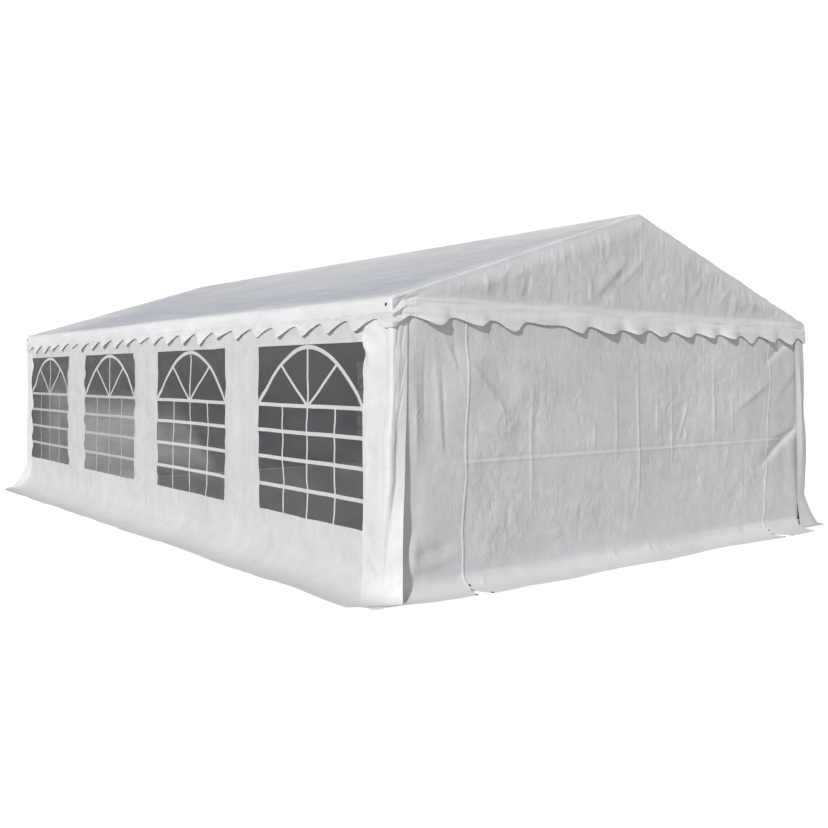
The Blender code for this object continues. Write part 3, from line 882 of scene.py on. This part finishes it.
def hang(base, outward, edge, t, foot, relief, lift, kick=0.0):
    """A wall's points: base and outward are on its upright part, edge is the skirt's outer edge.
    kick is how far the foot runs straight out to that edge from higher up."""
    height, share = wall_section(t, foot)
    share = share + kick * (unit(1.0 - height / KICK_HEIGHT) - share)
    xy = base + (edge - base) * share[..., None]
    xy = xy + outward * ((relief + lift) * (1 - share))[..., None]
    z = height + 0.002 + np.maximum(relief * 0.8 + 0.004, 0.0) * share + lift * share
    return points_of(xy[..., 0], xy[..., 1], z)


def round_corner(past, z, free_edge):
    """The wall's path round the corner post at a distance past it, for the near left corner: the
    place and the outward direction. free_edge is where the cloth ends at each height."""
    post = np.array([-POST_X, -POST_Y])
    free = points_of(look_up(free_edge, z), look_up(free_edge, z, 2))
    away = free - post
    far = np.hypot(away[..., 0], away[..., 1])
    leave = np.arctan2(away[..., 1], away[..., 0]) - np.arccos(CORNER_RADIUS / far)
    arc = CORNER_RADIUS * (leave + math.pi)
    line = np.sqrt(far**2 - CORNER_RADIUS**2)
    run = unit(past / RETURN_LENGTH) * (arc + line)
    angle = -math.pi + np.minimum(run, arc) / CORNER_RADIUS
    beyond = np.maximum(run - arc, 0.0)
    outward = points_of(np.cos(angle), np.sin(angle))
    along = points_of(-np.sin(angle), np.cos(angle))
    return post + CORNER_RADIUS * outward + beyond[..., None] * along, outward


def side_path(s, z, free_edges):
    """Place and outward direction of the left wall at a distance s along it, from back to front."""
    past = np.maximum(np.abs(s) - POST_Y, 0.0)
    front = (s > 0)[..., None]
    corners = (round_corner(past, z, free_edge) for free_edge in free_edges)
    place, outward = (np.where(front, near, far) for far, near in zip(*corners))
    straight = np.minimum(np.abs(s), POST_Y) - POST_Y
    place = points_of(place[..., 0], place[..., 1] - straight)
    flip = np.where(front, 1.0, -1.0)
    turn = np.concatenate([np.ones_like(flip), flip], axis=-1)
    return place * turn, outward * turn


def side_edge(s, skirts, seed):
    """The outer edge of the left wall's skirt."""
    run = np.abs(s)
    x, y = (np.where(s > 0, *(look_up(skirt, run, k) for skirt in skirts[::-1])) for k in (1, 2))
    y = np.where(run < SKIRT_START, -run, y)
    wavy = (0.012 * hills(s, 0.0, 0.35, 1.0, seed) + 0.004) * fall(run, 3.6, 0.5)
    return points_of(x + wavy, np.where(s > 0, 1.0, -1.0) * y)


NEAR_CORNER_FOLDS = [
    (4.045, 1.84, 3.985, 1.44, 4.5, -4.2), (4.092, 1.88, 4.03, 1.5, 4.5, -3.6),
    (4.052, 1.72, 4.015, 1.3, 6, 4), (4.032, 1.52, 3.99, 1.06, 4.5, -4.2),
    (4.08, 1.42, 4.012, 1.05, 4.5, -4), (4.04, 1.22, 3.99, 0.92, 7, 3),
    (4.07, 1.9, 4.005, 1.55, 7, 3), (4.02, 1.84, 3.985, 1.55, 7, 3),
    (4.095, 1.6, 4.03, 1.28, 4.5, -3.6), (3.455, 1.808, 3.8, 1.56, 24, 14),
    (3.5, 1.85, 3.83, 1.64, 20, -10), (3.68, 1.72, 3.76, 1.5, 12, 8),
    (3.72, 1.3, 3.7, 0.55, 30, 6), (3.7, 0.3, 3.93, 0.12, 22, 8),
]
FAR_CORNER_FOLDS = [
    (-4.045, 1.95, -4.045, 0.15, 26, 20), (-4.07, 1.7, -4.02, 0.7, 10, 6),
    (-3.96, 1.1, -3.955, 0.2, 60, 22),
]


def in_opening(s, z, soft):
    """1 inside the window openings and 0 at their edges, with a soft step of that width."""
    inside = np.zeros(np.broadcast(s, z).shape)
    for low, high, sill, head in WINDOWS:
        across = rise(s, -high, soft) * fall(s, -low, soft)
        inside += across * rise(z, sill, soft) * fall(z, head, soft)
    return inside


def corner_bulge(s, z):
    """The lower half of the near corner stands off its post and steps back in round it, low down
    in a narrower step."""
    up = unit((z - 0.26) / 0.5)
    step = rise(s, 3.934 + 0.042 * up, 0.009 + 0.043 * up)
    bulge = rise(s, 3.67, 0.27) * (1 - step)
    return 0.036 * bulge * fall(z, 1.3, 0.3) * rise(z, 0.02, 0.3)


def side_relief(s, z, seed, extra):
    """How far the side wall lies off its plane, outward."""
    waves = waves_on(s, z, seed)
    billow = waves(0.012, 0.9, 1.0) * fall(z, WALL_TOP, 0.25)
    upright = waves(0.0045, 0.17, 0.8, 1) + waves(0.001, 0.07, 0.35, 2)
    facets = 0.0042 * crumple(s, z, 0.17, 1.3, seed + 3)
    short = scattered(seed + 8, 150, (-3.9, 0.1), (3.9, 1.8), 0.18, 0.45, 9, 5)
    short += scattered(seed + 9, 90, (-3.8, 0.12), (3.6, 0.45), 0.2, 0.12, 7, 6)
    on_return = rise(np.abs(s), POST_Y + 0.01, 0.03)
    foot = waves(0.006, 0.3, 0.5, 7) * fall(z, 0.5, 0.4)
    soft = (billow + upright + facets + foot) * (1 - 0.85 * on_return)
    relief = (soft + creases(s, z, short + extra)) * (1 - 0.7 * in_opening(s, z, 0.12))
    posts = np.min(np.abs(s[..., None] - POST_ROWS), axis=-1)
    on_steel = np.maximum(fall(posts, 0.07, 0.048), rise(z, 1.74, 0.05))
    relief = np.maximum(relief, -0.022 + 0.0205 * on_steel) + corner_bulge(s, z)
    behind_valance = rise(z, 1.73, 0.05) * fall(np.abs(s), POST_Y + 0.02, 0.02)
    return np.minimum(relief, 0.1 * (1 - behind_valance))


# How far the jambs of each opening wander, from the nearest on
JAMB_WANDER = (0.008, 0.016, 0.026, 0.045)


def jamb_warp(s, z, seed):
    """How far the edges of the window openings wander along and up."""
    along, up = np.zeros_like(s), np.zeros_like(s)
    for number, (low, high, sill, head) in enumerate(WINDOWS):
        inside = rise(z, sill - 0.05, 0.05) * fall(z, head + 0.05, 0.05)
        for edge in (-low, -high):
            sway = JAMB_WANDER[number] * hills(z, edge, 0.1, 1.0, seed + number)
            along = along + sway * bell(s - edge, 0.06) * inside
        between = rise(s, -high - 0.05, 0.05) * fall(s, 0.05 - low, 0.05)
        for edge in (sill, head):
            sway = 0.004 * hills(s, edge, 0.25, 1.0, seed + number + 4)
            up = up + sway * bell(z - edge, 0.06) * between
    notch = 0.028 * bell(s + WINDOWS[0][0], 0.05) * bell(z - 1.6, 0.045)
    return along + notch, up


def side_wall_place(seed, corners, extra):
    """The left wall's surface. corners says for its back and front corners where the return's free
    edge is, where the skirt's edge is, and how straight the foot runs out."""
    free_edges, skirts, kicks = zip(*corners)

    def place(s, t, lift=0.0):
        z = wall_section(t, SIDE_FOOT)[0]
        along, up = jamb_warp(s, z, seed + 50)
        moved, lower = s + along, t - up
        base, outward = side_path(moved, z, free_edges)
        bend = SIDE_UPRIGHT + 0.13 + 0.02 * hills(s, 0.0, 0.8, 1.0, seed + 70)
        relief = side_relief(moved, z, seed, extra) + 0.006 * np.exp(-np.abs(t - bend) / 0.03)
        kick = np.where(s > 0, kicks[1], kicks[0]) * bell(SIDE_END - np.abs(s), 0.3)
        edge = side_edge(moved, skirts, seed + 60)
        return hang(base, outward, edge, lower, SIDE_FOOT, relief, lift, kick)

    return place


def window_cells(s, t):
    """Marks the cells of the side wall that are cloth and not a window."""
    middle_s, middle_t = (s[:-1] + s[1:]) / 2, (t[:-1] + t[1:]) / 2
    return in_opening(*grid(middle_s, WALL_TOP - middle_t), 1e-6) < 0.5


def opening_border(low, high):
    """The line round an opening in distances along and down the wall, half a strip outside it."""
    half = WINDOW_BORDER[0] / 2
    left, right = -high - half, -low + half
    top, bottom = WALL_TOP - HEAD - half, WALL_TOP - SILL + half
    return [
        [(left, top - half), (left, bottom + half)],
        [(right, top - half), (right, bottom + half)],
        [(left - half, top), (right + half, top)],
        [(left - half, bottom), (right + half, bottom)],
    ]


def side_wall_lines(edges, coarse):
    """The mesh's distances along and down a side wall, finer round the corners."""
    s = spaced([-SIDE_END, -POST_Y, *edges, POST_Y, SIDE_END], SIDE_STEP * coarse)
    fine = spaced([POST_Y - 0.05, POST_Y, SIDE_END], CORNER_STEP * coarse)
    s = np.concatenate([-fine[::-1], s[np.abs(s) <= POST_Y - 0.05], fine])
    turned_out = SIDE_UPRIGHT + SIDE_FOOT.turn
    stops = [0.0, WALL_TOP - HEAD, WALL_TOP - SILL, SIDE_UPRIGHT, turned_out, SIDE_DROP]
    return s, spaced(stops, SIDE_STEP_DOWN * coarse)


def build_side_wall(label, place, coarse):
    edges = sorted(edge for low, high, _, _ in WINDOWS for edge in (-low, -high))
    lines = side_wall_lines(edges, coarse)
    s, t = grid(*lines)
    name, cloth = f"wall_{label}", (SIDE_CLOTH, "wall_cloth")
    wall = cloth_piece(name, f"side_wall_{label}", place(s, t), (s, t), *cloth, window_cells(*lines))
    lines = [line for low, high, _, _ in WINDOWS for line in opening_border(low, high)]
    border = strip_piece(f"{name}_borders", [(line, *WINDOW_BORDER) for line in lines], place, *cloth)
    seams = [([(row, 0.12), (row, SIDE_DROP - 0.02)], *BAY_SEAM) for row in POST_ROWS[1:-1]]
    sill = WALL_TOP - SILL - 0.002
    spans = zip([-3.92, *edges[1::2]], [*edges[0::2], 3.92])
    seams += [([(a, sill), (b, sill)], *SILL_SEAM) for a, b in spans]
    seam = strip_piece(f"{name}_seams", seams, place, *cloth)


# Windows

BAR_HEIGHTS = (1.22, 1.022, 0.818, 0.605)
BAR_REACH = 0.712
UPRIGHT_REACH = 0.708
ARCH_REACH = 0.707
ARCH_SPRING = 1.23
ARCH_CROWN = 1.652
SPOKE_AT = 0.395
SPOKE_TOP = 1.535
FILM_WIDTH = 1.46


def film_place(wall, seed):
    """The film behind an opening, by distance along the wall and height. It follows the wall."""

    def place(s, z, lift=0.0):
        waves = waves_on(s, z, seed)
        wave = waves(0.006, 0.35, 0.16) + waves(0.004, 0.5, 0.4, 1) - 0.004
        return wall(s, WALL_TOP - z, lift - 0.0018 + wave * in_opening(s, z, 0.1))

    return place


def arch_line(middle):
    """The arch's line over a window, from one jamb over the crown to the other."""
    across = np.linspace(-1.0, 1.0, 61)
    up = (1 - np.abs(across) ** 1.95) ** 0.98
    return points_of(across * ARCH_REACH + middle, ARCH_SPRING + (ARCH_CROWN - ARCH_SPRING) * up)


def window_bars(middle, seed):
    """Each printed bar of a window with its line, width, lift and rise."""
    bars = []
    line = np.linspace(middle - BAR_REACH, middle + BAR_REACH, 30)
    for z in BAR_HEIGHTS:
        bars.append((points_of(line, z + 0.003 * hills(line, z, 0.3, 1.0, seed)), *LEVEL_BAR))
    z = np.linspace(SILL, BAR_HEIGHTS[0], 30)
    for quarter in (-0.5, 0.0, 0.5):
        sway = 0.008 * hills(z, quarter, 0.11, 1.0, seed + 1)
        bars.append((points_of(middle + UPRIGHT_REACH * quarter + sway, z), *UPRIGHT_BAR))
    foot = (middle, BAR_HEIGHTS[0])
    for across, top in ((0.0, ARCH_CROWN), (-SPOKE_AT, SPOKE_TOP), (SPOKE_AT, SPOKE_TOP)):
        bars.append(([foot, (middle + across, top)], *SPOKE_BAR))
    return [*bars, (arch_line(middle), *ARCH_BAR)]


def build_window(label, number, wall, shape, seed, material, ink):
    """A film with its bars. shape is the place in the wall's row of the window that it fills."""
    middle = -(WINDOWS[shape][0] + WINDOWS[shape][1]) / 2
    place = film_place(wall, seed)
    across = spaced([middle - FILM_WIDTH / 2, middle, middle + FILM_WIDTH / 2], FILM_STEP)
    down = spaced([SILL - FILM_LAP, SILL, HEAD, HEAD + FILM_LAP], FILM_STEP)[::-1]
    s, z = grid(across, down)
    name, node = f"film_{label}_{number}", f"window_{label}_{number}"
    film = cloth_piece(name, node, place(s, z), (s, z), material, "window_film")
    bars = strip_piece(f"bars_{label}_{number}", window_bars(middle, seed + 5), place, ink, "wall_cloth")


# End walls

FOLD_HEIGHT = 0.848
END_FOLDS = [
    (-2.35, 1.8, -2.29, 0.7, 18, 4), (-2.298, 1.489, -2.297, 0.836, 8, 4),
    (-2.231, 1.741, -2.23, 1.022, 10, -4), (-2.17, 1.8, -2.06, 0.72, 18, 5),
    (-2.094, 1.617, -2.05, 0.841, 10, -6), (-2.12, 1.79, -1.89, 1.35, 14, 6),
    (-2.0, 1.79, -1.93, 1.3, 16, -5), (-1.584, 1.275, -1.526, 1.161, 8, 6),
    (-1.26, 1.5, -1.262, 0.377, 9, 6), (-0.59, 1.15, -0.592, 0.85, 9, 5),
    (-0.33, 1.5, -0.336, 0.65, 9, 5), (-0.06, 1.78, -0.062, 0.15, 9, 7),
    (0.182, 1.329, 0.176, 0.838, 9, 5), (0.382, 1.5, 0.372, 0.6, 9, 6),
    (0.612, 1.24, 0.442, 0.85, 10, 8), (0.963, 1.67, 0.95, 0.78, 10, 7),
    (1.228, 1.33, 1.221, 0.85, 9, 5), (-1.3, 0.3, -0.9, 0.28, 16, 5),
    (-2.45, 0.15, -1.9, 0.24, 30, 10), (-2.45, 0.25, -1.9, 0.32, 35, -10),
]
# Folds with one steep flank, on the right seen along the line
STEEP_FOLDS = [
    (-1.38, 1.02, -1.99, 1.68, 32, 16), (1.56, 0.56, 2.56, 1.04, 16, -30),
    (1.7, 0.83, 2.5, 0.985, 12, 8), (1.2, 1.11, 1.95, 1.42, 14, 12),
    (1.68, 1.5, 2.42, 1.86, 14, -18), (1.9, 1.18, 2.42, 1.56, 20, 8),
]
# The fold across the whole wall, which is fainter left of the door
CROSS_FOLD = [
    (-4.0, FOLD_HEIGHT + 0.004, 4.0, FOLD_HEIGHT - 0.004, 7, 7),
    (-4.0, FOLD_HEIGHT + 0.022, 4.0, FOLD_HEIGHT + 0.014, 10, -6),
]
# Bulges at the foot beside the corner posts
CORNER_BULGES = [(-2.335, 0.44, -2.335, 0.11, 50, 24), (2.3, 0.6, 2.34, -0.35, 80, 10)]
# Creases across the front skirt, by distance across and distance down the wall
SKIRT_CREASES = [
    (-2.06, END_DROP - 0.15, -1.985, END_DROP, 12, 6),
    (-1.42, END_DROP - 0.16, -1.27, END_DROP, 12, 6),
    (-0.35, END_UPRIGHT - 0.03, -0.36, END_DROP - 0.1, 10, 6),
    (0.08, END_UPRIGHT - 0.03, 0.075, END_DROP - 0.1, 10, 6),
    (-1.86, END_UPRIGHT - 0.004, 1.74, END_UPRIGHT + 0.022, 14, 11),
    (-2.34, END_UPRIGHT - 0.01, -1.94, END_UPRIGHT + 0.01, 18, 8),
    (0.9, END_DROP - 0.14, 1.0, END_DROP - 0.02, 12, 5),
    (2.02, END_DROP - 0.14, 2.1, END_DROP - 0.01, 14, 6),
    *scattered(31, 46, (-1.9, END_UPRIGHT), (1.8, END_DROP - 0.04), 0.07, 0.7, 8, 6),
]


def end_creases(x, z, seed):
    """The folds of an end wall, random and placed."""
    short = scattered(seed + 8, 170, (-1.8, 0.2), (1.8, 1.7), 0.13, 0.35, 5, 3.5)
    short += scattered(seed + 9, 60, (-1.8, 0.2), (1.8, 1.7), 0.16, 1.6, 7, 3)
    short += scattered(seed + 10, 50, (-1.55, 0.88), (-0.7, 1.28), 0.09, 0.9, 4.5, 4.5)
    folds = creases(x, z, short + END_FOLDS) + creases(x, z, STEEP_FOLDS, 3.0)
    return folds + creases(x, z, CROSS_FOLD) * (0.3 + 0.7 * rise(x, -1.95, 0.15))


def end_relief(x, z, seed):
    """How far an end wall lies off its plane, outward."""
    waves = waves_on(x, z, seed)
    away = np.abs(x)
    hung = fall(z, WALL_TOP - 0.02, 0.35)
    roll = 0.014 * rise(z, 1.62, 0.2)
    belly = 0.03 * fall(away, 2.42, 0.65) * hung * smooth(z / 0.8)
    billow = (waves(0.012, 0.75, 0.7) + waves(0.007, 0.3, 0.33, 4)) * hung
    strips = rise(away, 1.7, 0.25)
    upright = (0.0006 + 0.0035 * strips) * hills(x, z, 0.12, 0.55, seed + 1)
    patchy = 0.55 + waves(0.45, 0.5, 0.4, 6)
    facets = 0.0048 * crumple(x, z, 0.15, 1.25, seed + 3) * (1 - 0.5 * strips) * patchy
    waves = (billow + upright + facets) * (0.12 + 0.88 * rise(z, 0.12, 0.1))
    relief = roll + belly + waves + end_creases(x, z, seed)
    clear = fall(away, 2.39, 0.1)
    on_bar = rise(z, 1.8, 0.05)
    relief = np.maximum(relief * clear, -0.02 + 0.0195 * np.maximum(on_bar, 1 - clear))
    return relief + creases(x, z, CORNER_BULGES)


def zip_at(t, zips):
    """Where a zip is across the wall, at a distance down it."""
    z = wall_section(t, END_FOOT)[0]
    wander = 0.004 * hills(z, zips[0, 1], 0.16, 1.0, 77) + 0.003 * hills(z, 0.3, 0.4, 1.0, 78)
    return look_up(zips, z) + wander * smooth((WALL_TOP - t) / 0.2)


def beside_zip(zips, side):
    """The edge of the cloth left (-1) or right (1) of a zip, and of the slit below it."""

    def edge(t):
        slit = ZIP_GAP * unit((t - ZIP_FOOT) / (END_DROP - ZIP_FOOT)) ** 1.1
        return zip_at(t, zips) + side * (ZIP_CLEARANCE + slit)

    return edge


def outer(edge):
    return lambda t: look_up(edge, t)


def end_wall_place(seed):
    def place(x, t, lift=0.0):
        z = wall_section(t, END_FOOT)[0]
        base = points_of(x, np.full_like(x, -END_PLANE))
        edge = points_of(x, look_up(END_SKIRT, x) + 0.006 * hills(x, 0.0, 0.12, 1.0, seed + 30))
        relief = end_relief(x, z, seed) + creases(x, t, SKIRT_CREASES)
        return hang(base, np.array([0.0, -1.0]), edge, t, END_FOOT, relief, lift)

    return place


def build_end_part(name, node, left, right, place, coarse, strips):
    """A part of an end wall. Both edges are functions of the distance down."""
    fold = WALL_TOP - FOLD_HEIGHT
    near_fold = [fold - 0.032, fold - 0.012, fold - 0.004, fold, fold + 0.004, fold + 0.012]
    stops = [0.0, *near_fold, END_UPRIGHT, END_UPRIGHT + END_FOOT.turn, END_DROP]
    width = float(right(0.5) - left(0.5))
    shares = np.linspace(0.0, 1.0, math.ceil(width / (END_STEP * coarse)) + 1)
    share, t = grid(shares, spaced(stops, END_STEP_DOWN * coarse))
    x = left(t) + share * (right(t) - left(t))
    wall = cloth_piece(name, node, place(x, t), (x, t), END_CLOTH, "wall_cloth")
    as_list(strips)


ZIP_SECTION = ((-1, -0.1), (-0.55, 0.75), (0, 1), (0.6, 0.6), (1, -0.1))


def build_end(label, place, names, coarse):
    """The door and the two walls beside it. names are the two walls' nodes, from its left."""
    down = np.linspace(0.02, ZIP_FOOT + 0.02, 60)
    zips = [(points_of(zip_at(down, line), down), *ZIP_FLAP) for line in (ZIP_LEFT, ZIP_RIGHT)]
    flaps = strip_piece(f"zips_{label}", zips, place, END_CLOTH, "wall_cloth", ZIP_SECTION, 0.012)
    parts = (
        (f"wall_{label}_a", names[0], outer(END_EDGE_LEFT), beside_zip(ZIP_LEFT, -1), []),
        (f"wall_{label}_b", names[1], beside_zip(ZIP_RIGHT, 1), outer(END_EDGE_RIGHT), []),
        (f"door_{label}", f"{label}_door", beside_zip(ZIP_LEFT, 1), beside_zip(ZIP_RIGHT, -1), [flaps]),
    )
    for name, node, left, right, strips in parts:
        build_end_part(name, node, left, right, place, coarse, strips)


# Eyelets

EYELET_SECTION = np.array([(0.0, 0.0004), (0.5, 0.0004), (0.62, 0.0022), (0.84, 0.0026), (1.0, -0.0006)])
EYELET_RADIUS = 0.0115
ROOF_EYELET_RADIUS = 0.013
ROOF_EYELET_AT = 3.925


def eyelets(name, spots, radius=EYELET_RADIUS):
    """Black eyelets on the cloths. Each spot is a place function and two distances on it."""
    turn = np.linspace(0.0, 2 * math.pi, 21)[:, None]
    across, up = EYELET_SECTION.T
    ring = radius * across * np.cos(turn), radius * across * np.sin(turn), up + 0 * turn
    points, faces = [], []
    for place, u, v in spots:
        at = place(np.array([u, u + 0.004, u]), np.array([v, v, v + 0.004]), 0.0)
        right, down = Vector(at[1] - at[0]).normalized(), Vector(at[2] - at[0])
        out = down.cross(right).normalized()
        axes = right, right.cross(out), out
        shape = sum(part[..., None] * np.array(axis) for part, axis in zip(ring, axes))
        faces.append(quads(*ring[0].shape, sum(map(len, points))).reshape(-1, 4))
        points.append(shape.reshape(-1, 3) + at[0])
    points = np.concatenate(points)
    finish_piece(name, points, np.concatenate(faces), points[:, :2], BLACK, "steel")


def left_valance(u, v, lift):
    return roof_place(-v, -u, lift)


def roof_eyelets():
    """One near each lower corner of the cover, on the eave valances."""
    places = (left_valance, turned(left_valance))
    down = VALANCE_START - 0.05
    spots = [(place, side * ROOF_EYELET_AT, down) for place in places for side in (-1, 1)]
    eyelets("eyelets_roof", spots, ROOF_EYELET_RADIUS)


def skirt_eyelets(label, place):
    """One at the foot of each zip and one at each corner of the slit below it."""
    spots = []
    for zips in (ZIP_LEFT, ZIP_RIGHT):
        foot = float(zip_at(np.array(ZIP_FOOT - 0.02), zips))
        corner = float(zip_at(np.array(END_DROP), zips))
        spots.append((place, foot + 0.016, ZIP_FOOT - 0.02))
        spots += [(place, corner + side * (ZIP_GAP + 0.014), END_DROP - 0.014) for side in (-1, 1)]
    eyelets(f"eyelets_{label}", spots)


# Assembly


def build_cloths():
    build_roof()
    build_gable("front", gable_place, 1.0)
    build_gable("back", turned(lambda a, b, lift=0.0: gable_place(a, b, lift, 260)), 1.7)
    near = (RETURN_EDGE, CORNER_SKIRT, 0.0)
    kicked = (SNUG_EDGE, KICKED_SKIRT, 0.85)
    settled = (SNUG_EDGE, CORNER_SKIRT, 0.3)
    left = side_wall_place(300, (kicked, near), NEAR_CORNER_FOLDS)
    right = turned(side_wall_place(400, (kicked, settled), FAR_CORNER_FOLDS))
    build_side_wall("left", left, 1.0)
    build_side_wall("right", right, 1.5)
    for number, film in enumerate(LEFT_FILMS, 1):
        ink = BAR_PRINT if number < 3 else FAINT_PRINT
        build_window("left", number, left, number - 1, 500 + 10 * number, film, ink)
        build_window("right", number, right, 4 - number, 600 + 10 * number, RIGHT_FILM, BAR_PRINT)
    front = end_wall_place(700)
    back = turned(end_wall_place(800))
    build_end("front", front, ("front_wall_left", "front_wall_right"), 1.0)
    build_end("back", back, ("back_wall_right", "back_wall_left"), 1.7)
    roof_eyelets()
    skirt_eyelets("front", front)
    skirt_eyelets("back", back)


def paint_steel():
    for name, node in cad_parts.items():
        if name.startswith(("post", "rafter", "middle_purlin", "eave_rail", "ridge", "gable_bar")):
            node.data.materials.clear()
            node.data.materials.append(STEEL)


# Studio


def stage_material(name, colour, glow, shaded_glow):
    """A pale surface. Only the camera sees its glow, so that it lights the tent like a plain one, and the
    glow is weaker under the roof, a painted shade where the tent shades the floor."""
    look = new_look(name)
    solid = look.solid()
    # Painted shade: the glow is weaker inside the tent's footprint, where the tent shades the floor.
    across = look.span(look.away(solid, "X"), SIDE_PLANE + 0.2, SIDE_PLANE + 0.24, 1.0, 0.0)
    along = look.span(look.away(solid, "Y"), END_PLANE + 0.09, END_PLANE + 0.12, 1.0, 0.0)
    strength = look.span(look.times(across, along), 0.0, 1.0, glow, shaded_glow)
    seen = look.node("LightPath", "Is Camera Ray", {})
    dull = tuple(0.985 * tone for tone in colour)
    return look.finish({
        "Base Color": look.ramp(look.noise(solid, 0.8), 0.3, dull, 0.7, colour),
        "Roughness": 0.8,
        "Emission Color": WHITE,
        "Emission Strength": look.times(seen, strength),
    })


def build_floor():
    bpy.ops.mesh.primitive_plane_add(size=240.0, location=(0.0, 0.0, -0.001))
    floor = bpy.context.object
    floor.name = "studio_floor"
    floor.data.materials.append(stage_material("studio_floor_look", (0.7, 0.7, 0.7), 0.82, 0.15))


def build_light():
    sky = Look(bpy.data.worlds.new("studio"))
    seen = sky.node("LightPath", "Is Camera Ray", {})
    sources = {"Color": WHITE, "Strength": sky.span(seen, 0.0, 1.0, 0.28, 1.05)}
    bpy.context.scene.world = sky.finish(sources, "Background")
    lamp = bpy.data.lights.new("sun", "SUN")
    lamp.energy = 2.6
    lamp.angle = math.radians(2.0)
    sun = bpy.data.objects.new("sun", lamp)
    travel = Vector((1.0, 0.44, -0.54))
    sun.rotation_euler = travel.to_track_quat("-Z", "Y").to_euler()
    bpy.context.scene.collection.objects.link(sun)


def build_camera():
    data = bpy.data.cameras.new("camera")
    data.lens = 40.88
    data.sensor_width = 36.0
    data.shift_x = -0.01574
    data.shift_y = -0.0807
    data.clip_end = 500.0
    camera = bpy.data.objects.new("camera", data)
    camera.location = (-6.1018, -8.8519, 1.4441)
    camera.rotation_euler = (math.pi / 2 + 0.0305, 0.0, -0.6756)
    bpy.context.scene.collection.objects.link(camera)
    bpy.context.scene.camera = camera


build_cloths()
paint_steel()
build_floor()
build_light()
build_camera()
bpy.context.scene.view_settings.view_transform = "Standard"
